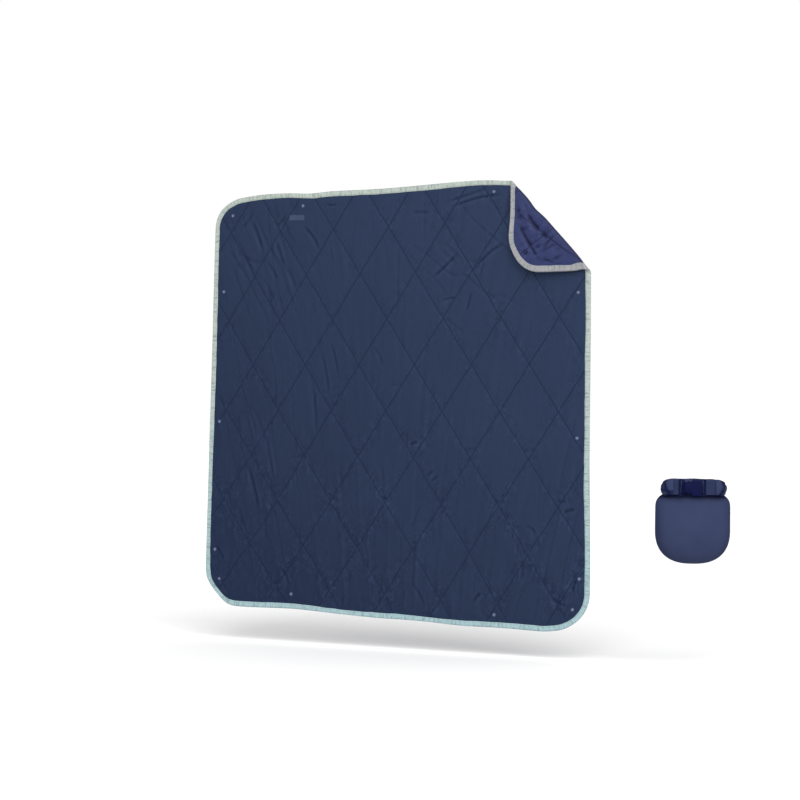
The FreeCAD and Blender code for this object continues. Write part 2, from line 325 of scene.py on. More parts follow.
def new_material(
    name: str, settings: dict[str, object]
) -> tuple[bpy.types.Material, bpy.types.NodeTree, bpy.types.Node]:
    """A material whose one surface shader has these constant settings.

    Args:
        name: material name.
        settings: the shader's input names and values.

    Returns:
        The material, its node tree and its shader.
    """
    material = bpy.data.materials.new(name)
    material.use_nodes = True
    tree = material.node_tree
    shader = tree.nodes["Principled BSDF"]
    for key, value in settings.items():
        shader.inputs[key].default_value = value
    return material, tree, shader


@dataclass(frozen=True)
class QuiltedTaffeta:
    """Nylon taffeta, plain woven and calendered, quilted in diamonds.

    Gives the eye a close matte cloth with a painted highlight on its ridges and painted shade
    in its hollows, and fine lines of painted shade where the quilting thread pulls it in.
    """

    name: str
    colour: str
    # The paler colour, reached by the painted light gradient and by random patches and streaks.
    pale_and_lit: str
    # Painted shade: on the seam lines, in the creases and in the small gathers.
    seam: str
    # Painted highlight on the ridges and on raised small gathers.
    ridge: str
    roughness: float
    specular: float
    height: float
    step_across: float
    step_down: float
    first_across: float
    first_down: float
    painted_crumple_strength: float = 3.6
    seam_width: float = 3.0 * MM
    seam_shade_share: float = 0.75
    ridge_highlight_share: float = 0.65
    gather_reach: float = 48.0 * MM
    thread_spacing: float = 2.2 * MM  # real threads are 0.1 mm apart; drawn as coarse as shows

    def build(self) -> bpy.types.Material:
        """Makes the material from the cloth's own UV, which is in metres.

        Returns:
            The material.
        """
        material, tree, shader = new_material(
            self.name, {"Roughness": self.roughness, "Specular IOR Level": self.specular}
        )
        uv = add_node(tree, "UVMap", {"uv_map": "UVMap"}).outputs["UV"]
        split = add_node(tree, "SeparateXYZ", links={0: uv})
        nearest = self._seam_distance(tree, uv, split)
        seam = add_node(
            tree,
            "MapRange",
            {
                "From Min": self.seam_width * 0.2,
                "From Max": self.seam_width,
                "To Min": self.seam_shade_share,
                "To Max": 0.0,
            },
            {"Value": nearest},
        ).outputs[0]
        # The piece's attribute and the small gathers are painted shade where positive, painted
        # highlight where negative.
        painted_shading = add_node(tree, "Attribute", {"attribute_name": "painted_shading"}).outputs["Fac"]
        painted_crumples = self._painted_crumples(tree, uv, split, nearest)
        sunk = add_node(tree, "Math", {"operation": "ADD"}, {0: painted_shading, 1: painted_crumples}).outputs[0]
        # Painted highlight: the ridge colour where the cloth stands proud.
        crest = add_node(
            tree,
            "MapRange",
            {"From Min": -0.05, "From Max": -1.0, "To Min": 0.0, "To Max": self.ridge_highlight_share},
            {"Value": sunk},
        ).outputs[0]
        # Painted shade: the seam colour on the seam lines, in the creases and in the small gathers.
        dark = add_node(tree, "Math", {"operation": "MAXIMUM"}, {0: seam, 1: sunk}).outputs[0]
        colour = self._tone(tree, uv, split)
        for share, tint in ((crest, self.ridge), (dark, self.seam)):
            settings = {"data_type": "RGBA", 7: linear_colour(tint)}
            colour = add_node(tree, "Mix", settings, {0: share, 6: colour}).outputs[2]
        tree.links.new(colour, shader.inputs["Base Color"])
        tree.links.new(self._relief(tree, uv, split, seam), shader.inputs["Normal"])
        return material

    def _tone(
        self, tree: bpy.types.NodeTree, uv: bpy.types.NodeSocket, split: bpy.types.Node
    ) -> bpy.types.NodeSocket:
        """The cloth's colour: a painted light gradient pales it towards the top right, and random
        patches and streaks pale it too.

        Args:
            tree: the material's node tree.
            uv: the piece's own coordinates.
            split: the same coordinates, taken apart.

        Returns:
            The colour.
        """
        patch_settings = {"Scale": 3.2, "Detail": 3.0, "Roughness": 0.55}
        patches = add_node(tree, "TexNoise", patch_settings, {"Vector": uv})
        drawn = add_node(tree, "Mapping", {"Scale": (95.0, 9.0, 1.0)}, {"Vector": uv})
        streaks = add_node(
            tree, "TexNoise", {"Scale": 1.0, "Detail": 2.0}, {"Vector": drawn.outputs[0]}
        )
        # Painted light: the cloth pales towards the top right, as where the light falls strongest.
        lit_gradient = add_node(
            tree,
            "Math",
            {"operation": "MULTIPLY_ADD", 1: 1.4},
            {0: split.outputs[1], 2: split.outputs[0]},
        )
        total = add_node(
            tree,
            "MapRange",
            {"From Min": -1.4 * self.height - 0.5, "From Max": 0.5, "To Max": 1.1},
            {"Value": lit_gradient.outputs[0]},
        ).outputs[0]
        for pattern, weight in ((patches, 0.55), (streaks, 0.4)):
            settings = {"operation": "MULTIPLY_ADD", 1: weight}
            links = {0: pattern.outputs["Fac"], 2: total}
            total = add_node(tree, "Math", settings, links).outputs[0]
        share = add_node(tree, "MapRange", {"From Min": 0.4, "From Max": 1.55}, {"Value": total})
        return add_node(
            tree,
            "Mix",
            {"data_type": "RGBA", 6: linear_colour(self.colour), 7: linear_colour(self.pale_and_lit)},
            {0: share.outputs[0]},
        ).outputs[2]

    def _seam_distance(
        self, tree: bpy.types.NodeTree, uv: bpy.types.NodeSocket, split: bpy.types.Node
    ) -> bpy.types.NodeSocket:
        """Distance in metres from the nearest quilting line, which wanders a little.

        Half steps are counted across and down. Across plus or minus down is an odd whole
        number on a line, so its distance from the nearest odd number, times the metres that
        one unit takes, is the distance sought.

        Args:
            tree: the material's node tree.
            uv: the piece's own coordinates.
            split: the same coordinates, taken apart.

        Returns:
            The distance.
        """
        wobble = add_node(tree, "TexNoise", {"Scale": 16.0, "Detail": 2.0}, {"Vector": uv})
        steps = []
        for axis, first, step in (
            (0, self.first_across, self.step_across),
            (1, self.first_down, -self.step_down),
        ):
            count = split.outputs[axis]
            for operation, value in (("SUBTRACT", first), ("DIVIDE", step)):
                count = add_node(
                    tree, "Math", {"operation": operation, 1: value}, {0: count}
                ).outputs[0]
            steps.append(count)
        per_line = 1.0 / math.hypot(1.0 / self.step_across, 1.0 / self.step_down)
        lines = []
        for family in ("ADD", "SUBTRACT"):
            total = add_node(tree, "Math", {"operation": family}, dict(enumerate(steps)))
            value = add_node(
                tree,
                "Math",
                {"operation": "MULTIPLY_ADD", 1: 0.07},
                {0: wobble.outputs["Fac"], 2: total.outputs[0]},
            ).outputs[0]
            for settings in (
                {"operation": "DIVIDE", 1: 2.0},
                {"operation": "FRACT"},
                {"operation": "SUBTRACT", 1: 0.5},
                {"operation": "ABSOLUTE"},
                {"operation": "MULTIPLY", 1: 2.0 * per_line},
            ):
                value = add_node(tree, "Math", settings, {0: value}).outputs[0]
            lines.append(value)
        return add_node(tree, "Math", {"operation": "MINIMUM"}, dict(enumerate(lines))).outputs[0]

    def _painted_crumples(
        self,
        tree: bpy.types.NodeTree,
        uv: bpy.types.NodeSocket,
        split: bpy.types.Node,
        nearest: bpy.types.NodeSocket,
    ) -> bpy.types.NodeSocket:
        """Painted shade and highlight of small gathers, signed, positive where they sink.

        A warped noise less its middle value, times three masks: one that is full on a seam
        and fades over a few centimetres, one that grows down the cloth, and one in clumps.

        Args:
            tree: the material's node tree.
            uv: the piece's own coordinates.
            split: the same coordinates, taken apart.
            nearest: distance from the nearest seam.

        Returns:
            Depth, from about -1 to 1.
        """
        drawn = add_node(
            tree,
            "Mapping",
            {"Scale": (60.0, 42.0, 1.0), "Rotation": (0.0, 0.0, 0.5)},
            {"Vector": uv},
        )
        folds = add_node(
            tree,
            "TexNoise",
            {"Scale": 1.0, "Detail": 3.0, "Roughness": 0.6, "Distortion": 1.2},
            {"Vector": drawn.outputs[0]},
        )
        clumps = add_node(tree, "TexNoise", {"Scale": 5.0, "Detail": 1.0}, {"Vector": uv})
        masks = []
        for source, empty, full, least in (
            (nearest, self.gather_reach, 2.0 * MM, 0.22),
            (split.outputs[1], -0.35 * self.height, -0.8 * self.height, 0.5),
            (clumps.outputs["Fac"], 0.38, 0.62, 0.4),
        ):
            settings = {"From Min": empty, "From Max": full, "To Min": least, "To Max": 1.0}
            masks.append(add_node(tree, "MapRange", settings, {"Value": source}).outputs[0])
        middle_value = {"operation": "SUBTRACT", 1: 0.5}
        # Painted only: these gathers shade and light the colour, not the surface.
        signed = add_node(tree, "Math", middle_value, {0: folds.outputs["Fac"]})
        strength = {"operation": "MULTIPLY", 1: self.painted_crumple_strength}
        result = add_node(tree, "Math", strength, {0: signed.outputs[0]}).outputs[0]
        for mask in masks:
            links = {0: result, 1: mask}
            result = add_node(tree, "Math", {"operation": "MULTIPLY"}, links).outputs[0]
        return result

    def _relief(
        self,
        tree: bpy.types.NodeTree,
        uv: bpy.types.NodeSocket,
        split: bpy.types.Node,
        seam: bpy.types.NodeSocket,
    ) -> bpy.types.NodeSocket:
        """The surface's small slopes: weave and fine ripples, then a groove along each seam.

        The weave is the product of a sine along each direction of the cloth.

        Args:
            tree: the material's node tree.
            uv: the piece's own coordinates.
            split: the same coordinates, taken apart.
            seam: how much of a seam each place is.

        Returns:
            The normal.
        """
        waves = []
        for axis in (0, 1):
            phase = {"operation": "MULTIPLY", 1: 2 * math.pi / self.thread_spacing}
            turned = add_node(tree, "Math", phase, {0: split.outputs[axis]})
            sine = add_node(tree, "Math", {"operation": "SINE"}, {0: turned.outputs[0]})
            waves.append(sine.outputs[0])
        threads = add_node(tree, "Math", {"operation": "MULTIPLY"}, dict(enumerate(waves)))
        ripple_settings = {"Scale": 55.0, "Detail": 2.0, "Roughness": 0.5}
        ripples = add_node(tree, "TexNoise", ripple_settings, {"Vector": uv})
        relief = add_node(
            tree,
            "Math",
            {"operation": "MULTIPLY_ADD", 1: 0.55},
            {0: ripples.outputs["Fac"], 2: threads.outputs[0]},
        )
        weave = add_node(
            tree, "Bump", {"Strength": 0.35, "Distance": 0.4 * MM}, {"Height": relief.outputs[0]}
        )
        return add_node(
            tree,
            "Bump",
            {"Strength": 0.6, "Distance": 0.8 * MM, "invert": True},
            {"Height": seam, "Normal": weave.outputs[0]},
        ).outputs[0]


@dataclass(frozen=True)
class PlainCloth:
    """A woven cloth with no pattern: webbing, bag cloth or label.

    Gives the eye an even matte colour that shifts a little from place to place, painted
    shade in its folds and other shaded places, and fine ribs or threads.
    """

    name: str
    colour: str
    worn: str
    roughness: float
    rib_width: float
    rib_depth: float
    sheen: float = 0.15
    specular: float = 0.2
    patch_scale: float = 14.0
    # Painted shade, laid where the piece's attribute asks for it.
    crease: str = "#0d1230"

    def build(self) -> bpy.types.Material:
        """Makes the material from object coordinates, which are in metres.

        Returns:
            The material.
        """
        material, tree, shader = new_material(
            self.name,
            {
                "Roughness": self.roughness,
                "Specular IOR Level": self.specular,
                "Sheen Weight": self.sheen,
                "Sheen Roughness": 0.5,
            },
        )
        place = add_node(tree, "TexCoord").outputs["Object"]
        patch_settings = {"Scale": self.patch_scale, "Detail": 4.0}
        patches = add_node(tree, "TexNoise", patch_settings, {"Vector": place})
        cloth = add_node(
            tree,
            "Mix",
            {"data_type": "RGBA", 6: linear_colour(self.colour), 7: linear_colour(self.worn)},
            {0: patches.outputs["Fac"]},
        )
        # Painted shade, mixed in by the piece's attribute.
        painted_shading = add_node(tree, "Attribute", {"attribute_name": "painted_shading"})
        coloured = add_node(
            tree,
            "Mix",
            {"data_type": "RGBA", 7: linear_colour(self.crease)},
            {0: painted_shading.outputs["Fac"], 6: cloth.outputs[2]},
        )
        tree.links.new(coloured.outputs[2], shader.inputs["Base Color"])
        # At scale 1 the wave texture has a rib and its groove in every tenth of pi metres.
        bands = math.pi / (self.rib_width * 20.0)
        ribs = add_node(
            tree,
            "TexWave",
            {"Scale": bands, "bands_direction": "Z", "Distortion": 0.6},
            {"Vector": place},
        )
        bump = add_node(
            tree,
            "Bump",
            {"Strength": 0.5, "Distance": self.rib_depth},
            {"Height": ribs.outputs["Fac"]},
        )
        tree.links.new(bump.outputs[0], shader.inputs["Normal"])
        return material


@dataclass(frozen=True)
class BindingTape:
    """Woven polyester bias tape, folded over the edge and stitched down.

    Gives the eye a pale soft band, puckered crosswise by its stitching with painted shade in
    the puckers, which leans from a grey green at the top to a blue green at the bottom, and
    is a plainer grey behind.
    """

    name: str
    top: str
    bottom: str
    reverse: str
    # Painted shade in the puckers, and the stitches' own dark colour.
    crease: str
    height: float
    stitch_inset: float = 14.5 * MM
    stitch_length: float = 5.0 * MM
    stitch_gap: float = 0.25
    pucker_shade_share: float = 0.65

    def build(self) -> bpy.types.Material:
        """Makes the material from the tape's UV: walked length, and depth with its side's sign.

        Returns:
            The material.
        """
        material, tree, shader = new_material(
            self.name, {"Roughness": 0.85, "Specular IOR Level": 0.12, "Sheen Weight": 0.05}
        )
        uv = add_node(tree, "UVMap", {"uv_map": "UVMap"}).outputs["UV"]
        walk, depth = add_node(tree, "SeparateXYZ", links={0: uv}).outputs[:2]
        place = add_node(tree, "TexCoord").outputs["Object"]
        level = add_node(tree, "SeparateXYZ", links={0: place}).outputs[2]
        down = add_node(
            tree,
            "MapRange",
            {"From Min": -self.height * 0.35, "From Max": -self.height},
            {"Value": level},
        )
        front = add_node(
            tree,
            "Mix",
            {"data_type": "RGBA", 6: linear_colour(self.top), 7: linear_colour(self.bottom)},
            {0: down.outputs[0]},
        )
        behind = add_node(tree, "Math", {"operation": "LESS_THAN", 1: 0.0}, {0: depth})
        dark = self._dark(tree, uv, walk, depth)
        colour = front.outputs[2]
        for share, tint in ((behind.outputs[0], self.reverse), (dark, self.crease)):
            settings = {"data_type": "RGBA", 7: linear_colour(tint)}
            colour = add_node(tree, "Mix", settings, {0: share, 6: colour}).outputs[2]
        tree.links.new(colour, shader.inputs["Base Color"])
        groove = {"Strength": 0.6, "Distance": 0.8 * MM, "invert": True}
        bump = add_node(tree, "Bump", groove, {"Height": dark})
        tree.links.new(bump.outputs[0], shader.inputs["Normal"])
        return material

    def _dark(
        self,
        tree: bpy.types.NodeTree,
        uv: bpy.types.NodeSocket,
        walk: bpy.types.NodeSocket,
        depth: bpy.types.NodeSocket,
    ) -> bpy.types.NodeSocket:
        """Where the tape darkens: painted shade in crosswise puckers, and a row of dark stitches.

        A stitch is a thin line along the row, blank for a share of each stitch length.

        Args:
            tree: the material's node tree.
            uv: the piece's own coordinates.
            walk: length walked along the edge.
            depth: inset from the edge, with its side's sign.

        Returns:
            Share of the dark colour, from 0 to 1.
        """
        stretched = add_node(tree, "Mapping", {"Scale": (190.0, 38.0, 1.0)}, {"Vector": uv})
        puckers = add_node(
            tree,
            "TexNoise",
            {"Scale": 1.0, "Detail": 3.0, "Distortion": 0.6},
            {"Vector": stretched.outputs[0]},
        )
        # Painted shade in the puckers.
        dip = add_node(
            tree,
            "MapRange",
            {"From Min": 0.47, "From Max": 0.70, "To Max": self.pucker_shade_share},
            {"Value": puckers.outputs["Fac"]},
        )
        off_row = depth
        for settings in (
            {"operation": "ABSOLUTE"},
            {"operation": "SUBTRACT", 1: self.stitch_inset},
            {"operation": "ABSOLUTE"},
        ):
            off_row = add_node(tree, "Math", settings, {0: off_row}).outputs[0]
        row = add_node(
            tree,
            "MapRange",
            {"From Min": 0.3 * MM, "From Max": 1.1 * MM, "To Min": 0.5, "To Max": 0.0},
            {"Value": off_row},
        )
        stitch = walk
        for settings in (
            {"operation": "DIVIDE", 1: self.stitch_length},
            {"operation": "FRACT"},
            {"operation": "GREATER_THAN", 1: self.stitch_gap},
        ):
            stitch = add_node(tree, "Math", settings, {0: stitch}).outputs[0]
        stitches = add_node(
            tree, "Math", {"operation": "MULTIPLY"}, {0: row.outputs[0], 1: stitch}
        )
        links = {0: dip.outputs[0], 1: stitches.outputs[0]}
        return add_node(tree, "Math", {"operation": "MAXIMUM"}, links).outputs[0]


@dataclass(frozen=True)
class MouldedAcetal:
    """Injection-moulded acetal: a dense, slightly waxy plastic with a fine spark texture.

    Gives the eye a dark even colour with broad soft highlights, and painted shade at the rim
    where a snap sinks into its cloth.
    """

    name: str
    colour: str
    worn: str
    roughness: float = 0.38
    specular: float = 0.45
    # Painted shade at the rim.
    rim: str = "#05092a"
    grain: float = 1.2 * MM

    def build(self) -> bpy.types.Material:
        """Makes the material from object coordinates, with IOR 1.48 as acetal has.

        Returns:
            The material.
        """
        material, tree, shader = new_material(
            self.name,
            {"Roughness": self.roughness, "IOR": 1.48, "Specular IOR Level": self.specular},
        )
        place = add_node(tree, "TexCoord").outputs["Object"]
        grain_settings = {"Scale": 1.0 / self.grain, "Detail": 2.0}
        grain = add_node(tree, "TexNoise", grain_settings, {"Vector": place}).outputs["Fac"]
        shade = add_node(
            tree,
            "Mix",
            {"data_type": "RGBA", 6: linear_colour(self.colour), 7: linear_colour(self.worn)},
            {0: grain},
        )
        painted_shading = add_node(tree, "Attribute", {"attribute_name": "painted_shading"})
        # Painted shade at the rim of a snap.
        ringed = add_node(
            tree,
            "Mix",
            {"data_type": "RGBA", 7: linear_colour(self.rim)},
            {0: painted_shading.outputs["Fac"], 6: shade.outputs[2]},
        )
        tree.links.new(ringed.outputs[2], shader.inputs["Base Color"])
        bump = add_node(tree, "Bump", {"Strength": 0.25, "Distance": 0.1 * MM}, {"Height": grain})
        tree.links.new(bump.outputs[0], shader.inputs["Normal"])
        return material


# ---------------------------------------------------------------- the blanket


@dataclass
class QuiltForm:
    """Where every point of the flat cut cloth lies once it hangs with its corner folded.

    A point is (a, b) on the flat square, with a along +X and b along +Z, and a height along
    the cloth's face.
    """

    size: float
    corner_radius: float
    hinge: Vector
    layer_inset: float = 1.0 * MM
    edge_half: float = 2.7 * MM
    seam_half: float = 1.9 * MM
    puff: float = 2.4 * MM
    step_across: float = 106.15 * MM
    step_down: float = 155.25 * MM
    first_across: float = -548.8 * MM
    first_down: float = -130.4 * MM
    seam_reach: float = 13.0 * MM
    hanging: Waves = Waves(0.9 * MM, 0.028, 0.26, 11)
    bunching: Waves = Waves(1.3 * MM, 0.045, 0.09, 31)
    slack: Waves = Waves(2.0 * MM, 0.035, 0.022, 44)
    crackle: Waves = Waves(0.9 * MM, 0.016, 0.05, 45)
    low_hem: Waves = Waves(3.0 * MM, 0.2, 1.0, 54)
    pulls: tuple[Crease, ...] = (
        # Below the label and at the top left corner
        Crease((-0.36, -0.11), (-0.285, -0.21), 10 * MM, 5 * MM, 3.4 * MM),
        Crease((-0.46, -0.16), (-0.42, -0.26), -5 * MM, 7 * MM, 3.0 * MM),
        Crease((-0.425, -0.25), (-0.375, -0.34), 4 * MM, 8 * MM, 3.4 * MM),
        Crease((-0.64, -0.14), (-0.545, -0.29)),
        Crease((-0.665, -0.18), (-0.58, -0.30), depth=1.6 * MM),
        Crease((-0.575, -0.08), (-0.52, -0.20), 6 * MM, 6 * MM, 2.8 * MM),
        Crease((-0.50, -0.23), (-0.45, -0.305)),
        Crease((-0.27, -0.04), (-0.215, -0.045), -5 * MM, 3.5 * MM, 2.4 * MM),
        Crease((-0.25, -0.18), (-0.225, -0.265), depth=1.5 * MM),
        Crease((-0.56, -0.045), (-0.62, -0.12), 8 * MM, 8 * MM, 2.6 * MM),
        Crease((-0.42, -0.07), (-0.47, -0.115), 6 * MM, 7 * MM, 2.4 * MM),
        # Long hanging creases, left
        Crease((-0.52, -0.28), (-0.45, -0.40), depth=1.6 * MM),
        Crease((-0.275, -0.54), (-0.24, -0.71), 3 * MM),
        Crease((-0.24, -0.51), (-0.205, -0.64), 3 * MM),
        Crease((-0.31, -0.64), (-0.29, -0.84), 3 * MM),
        Crease((-0.565, -0.745), (-0.53, -0.845), 4 * MM, depth=1.7 * MM),
        Crease((-0.57, -0.93), (-0.515, -1.12), 6 * MM, 6 * MM, 3.4 * MM),
        Crease((-0.495, -0.83), (-0.46, -1.0), 3 * MM, depth=1.6 * MM),
        Crease((-0.495, -1.11), (-0.485, -1.21), depth=2.0 * MM),
        Crease((-0.685, -1.23), (-0.65, -1.29), 3 * MM, 5 * MM, 3.2 * MM),
        Crease((-0.44, -1.29), (-0.385, -1.39), 8 * MM),
        # Pulls towards the folded corner
        Crease((0.20, -0.085), (0.41, -0.05), 9 * MM, 5 * MM, 3.2 * MM),
        Crease((0.18, -0.065), (0.36, -0.02), -3 * MM, 5 * MM, 2.6 * MM),
        Crease((0.065, -0.085), (0.145, -0.095), depth=2.0 * MM),
        Crease((0.145, -0.31), (0.245, -0.225), -3 * MM, 6 * MM, 3.4 * MM),
        Crease((0.30, -0.29), (0.42, -0.20), 12 * MM, 7 * MM, 3.4 * MM),
        Crease((0.295, -0.35), (0.275, -0.425), 3 * MM),
        Crease((0.34, -0.255), (0.325, -0.31), depth=2.0 * MM),
        Crease((0.18, -0.385), (0.24, -0.375), 3 * MM, 4 * MM, 2.4 * MM),
        # Middle and lower right
        Crease((-0.07, -0.53), (-0.03, -0.60), 2 * MM, depth=2.0 * MM),
        Crease((0.07, -0.87), (0.105, -0.855), 4 * MM, 5 * MM, 2.8 * MM),
        Crease((0.135, -0.97), (0.165, -0.95), 2 * MM, 5 * MM, 2.8 * MM),
        Crease((0.15, -0.99), (0.185, -0.965), 2 * MM, 4 * MM, 2.6 * MM),
        Crease((0.08, -1.32), (0.14, -1.41), 6 * MM),
        Crease((0.31, -1.375), (0.345, -1.335), 2 * MM, 6 * MM, 3.0 * MM),
        Crease((0.50, -1.12), (0.54, -1.15), 3 * MM, 5 * MM, 2.6 * MM),
        Crease((0.585, -1.34), (0.65, -1.38), -2 * MM, 5 * MM, 3.4 * MM),
        Crease((0.665, -1.34), (0.68, -1.285), 2 * MM, 4 * MM, 2.8 * MM),
        Crease((0.49, -1.22), (0.492, -1.30), 2 * MM, depth=2.0 * MM),
        Crease((0.63, -1.08), (0.68, -1.065), 3 * MM, 6 * MM, 2.8 * MM),
        # Reverse of the folded corner
        Crease((0.545, -0.065), (0.61, -0.115), 5 * MM, 9 * MM, -5.0 * MM),
        Crease((0.575, -0.03), (0.695, -0.12), 6 * MM, 7 * MM, -4.2 * MM),
        Crease((0.49, -0.03), (0.64, -0.10), 4 * MM, 12 * MM, 4.6 * MM),
        Crease((0.605, -0.115), (0.63, -0.14), 0.0, 9 * MM, -4.6 * MM),
        Crease((0.615, -0.17), (0.66, -0.12), 3 * MM, 5 * MM, -3.0 * MM),
        Crease((0.66, -0.21), (0.68, -0.235), 0.0, 7 * MM, -3.4 * MM),
        Crease((0.685, -0.125), (0.71, -0.215), 3 * MM, 5 * MM, -3.0 * MM),
        Crease((0.52, -0.12), (0.56, -0.19), -6 * MM, 10 * MM, 3.0 * MM),
    )

    def scattered(self) -> list[Crease]:
        """Small seeded creases: short arcs at the seam crossings and hanging ones between.

        The arcs sit just above a crossing. The hanging ones keep close to upright, and
        crowd towards the lower hem.

        Returns:
            The creases.
        """
        rng = np.random.default_rng(91)
        columns, rows, hanging_count = range(-2, 13), range(-1, 10), 170
        made = []
        for column, row in ((c, r) for c in columns for r in rows if (c + r) % 2 == 0):
            a = self.first_across + (column + 1) * self.step_across
            b = self.first_down - row * self.step_down
            lower = b < -0.7
            for _ in range(rng.integers(1, 4)):
                reach, rise = rng.uniform(8, 24) * MM, rng.uniform(6, 34) * MM
                tilt, shift = rng.uniform(-10, 10) * MM, rng.uniform(-14, 14) * MM
                start = (a - reach + shift, b + rise - tilt)
                end = (a + reach + shift, b + rise + tilt)
                bow, width = rng.uniform(-5, 7) * MM, rng.uniform(2.6, 4.0) * MM
                depth = rng.uniform(0.4, 1.3) * MM * (0.5 + 0.5 * lower)
                made.append(Crease(start, end, bow, width, depth))
        for _ in range(hanging_count):
            a = rng.uniform(-0.70, 0.70)
            b = -1.45 * rng.uniform(0.02, 0.98) ** 0.75
            length = rng.uniform(0.03, 0.13)
            lean = rng.normal(0.0, 0.18) + 0.22 * np.sign(-a) * (b > -1.1)
            end = (a + length * math.sin(lean), b - length * math.cos(lean))
            bow, width = rng.uniform(-5, 5) * MM, rng.uniform(2.6, 5.0) * MM
            depth = rng.uniform(0.4, 1.3) * MM * (0.45 + 0.55 * (b < -0.9))
            made.append(Crease((a, b), end, bow, width, depth))
        return made

    @property
    def bend_radius(self) -> float:
        """Radius of the cloth's middle round the fold: the hinge lies that far in front."""
        return -self.hinge.y

    @property
    def bend_length(self) -> float:
        """Length of cloth in the half turn: pi times the radius."""
        return math.pi * self.bend_radius

    @property
    def fold_start(self) -> float:
        """How far out along the corner's diagonal the bend begins."""
        return (self.hinge.x + self.hinge.z) / math.sqrt(2) - self.bend_length / 2

    def past_fold(self, a: Array, b: Array) -> Array:
        """Distance past the start of the bend, along the corner's diagonal."""
        return (a + b) / math.sqrt(2) - self.fold_start

    def near_crest(self, a: Array, b: Array, reach: float) -> Array:
        """1 on the crest of the fold, falling off each way as a bell curve of this reach."""
        return np.exp(-(((self.past_fold(a, b) - self.bend_length / 2) / reach) ** 2))

    def steps(self, a: Array, b: Array) -> tuple[Array, Array]:
        """Quilting half steps across and down from the first crossing."""
        return (a - self.first_across) / self.step_across, (self.first_down - b) / self.step_down

    def seam_distance(self, a: Array, b: Array) -> tuple[Array, Array]:
        """Distance from the nearest line of each family, as on the cloth's material.

        Args:
            a: flat place across, in metres.
            b: flat place up, in metres: 0 at the top hem, less below.

        Returns:
            The distance from each of the two families.
        """
        across, down = self.steps(a, b)
        per_line = 1.0 / math.hypot(1.0 / self.step_across, 1.0 / self.step_down)
        families = (across + down, across - down)
        return tuple(np.abs(((total / 2) % 1.0) - 0.5) * 2.0 * per_line for total in families)

    def edge_distance(self, a: Array, b: Array) -> Array:
        """Distance in from the rounded outline: the round square's signed distance, reversed.

        Args:
            a: flat place across, in metres.
            b: flat place up, in metres: 0 at the top hem, less below.

        Returns:
            Metres in from the edge.
        """
        half = self.size / 2
        qa = np.abs(a) - (half - self.corner_radius)
        qb = np.abs(b + half) - (half - self.corner_radius)
        outside = np.hypot(np.maximum(qa, 0), np.maximum(qb, 0))
        return self.corner_radius - outside - np.minimum(np.maximum(qa, qb), 0)

    def half_thickness(self, a: Array, b: Array) -> Array:
        """Half the quilt's thickness: thin on seams and hems, puffed between them.

        Each seam lifts away as 1 less a stretched bell curve of its distance, and the two
        families and the hem multiply. The fold's crest is nearly all puff.

        Args:
            a: flat place across, in metres.
            b: flat place up, in metres: 0 at the top hem, less below.

        Returns:
            Half the thickness at each place.
        """
        hem_width, hem_rise, crest_puff = 12 * MM, 30 * MM, 0.9
        first, second = (
            1 - np.exp(-((distance / self.seam_reach) ** 1.3))
            for distance in self.seam_distance(a, b)
        )
        rise = first * second
        rise = rise + (crest_puff - rise) * crest_puff * self.near_crest(a, b, 25 * MM)
        loft = self.seam_half + self.puff * rise
        hem = ease((self.edge_distance(a, b) - hem_width) / hem_rise)
        return self.edge_half + (loft - self.edge_half) * hem

    def wrinkles(self, a: Array, b: Array) -> Array:
        """Height of the small folds that both cloths share, along the face.

        It adds up the long folds that hang down, the puckers across the seams, the bunches
        in the lower half and two crumpled places, the slack of the folded corner, and every
        named and scattered crease. All of it fades out at the hem and on the fold's crest.

        Args:
            a: flat place across, in metres.
            b: flat place up, in metres: 0 at the top hem, less below.

        Returns:
            Height at each place.
        """
        height = self.long_folds(a, b) + self.seam_puckers(a, b)
        low = ease((-b - 0.75) / 0.45) * ease(value_noise(a / 0.22, b / 0.2, 32) + 0.5)
        height += low * self.bunching.rise(a + 0.5 * b, b - 0.4 * a)
        top_left = patch(a, b, (-0.48, -0.25), (0.20, 0.20))
        thin = creases((a + 0.5 * b) / 0.05, (b - 0.3 * a) / 0.13, 0.22, 41)
        height -= 2.4 * MM * top_left * thin
        top_right = patch(a, b, (0.30, -0.26), (0.20, 0.22))
        thin = creases((a + 1.2 * b) / 0.06, (b - 0.8 * a) / 0.2, 0.16, 42)
        height -= 2.0 * MM * top_right * thin
        corner = np.clip((self.past_fold(a, b) - self.bend_length) / (40 * MM), 0.0, 1.0)
        slack = self.slack.rise(a + 0.5 * b, b - 1.9 * a)
        height += corner * (slack + self.crackle.rise(a + 0.4 * b, b - 1.9 * a))
        for fold in (*self.pulls, *self.scattered()):
            height -= fold.drop(a, b)
        off_crest = 1 - 0.95 * self.near_crest(a, b, 24 * MM)
        return height * ease((self.edge_distance(a, b) - 10 * MM) / (40 * MM)) * off_crest

    def long_folds(self, a: Array, b: Array) -> Array:
        """Folds that run down the cloth and lean in from both sides: waves and thin creases.

        Args:
            a: flat place across, in metres.
            b: flat place up, in metres: 0 at the top hem, less below.

        Returns:
            Height at each place.
        """
        lean = a + 0.28 * b * np.tanh(-a / 0.3)
        where = ease(value_noise(a / 0.25, b / 0.3, 13) + 0.4)
        thin = creases(lean / 0.05, b / 0.30, 0.10, 12)
        return self.hanging.rise(lean, b) - 1.1 * MM * thin * where

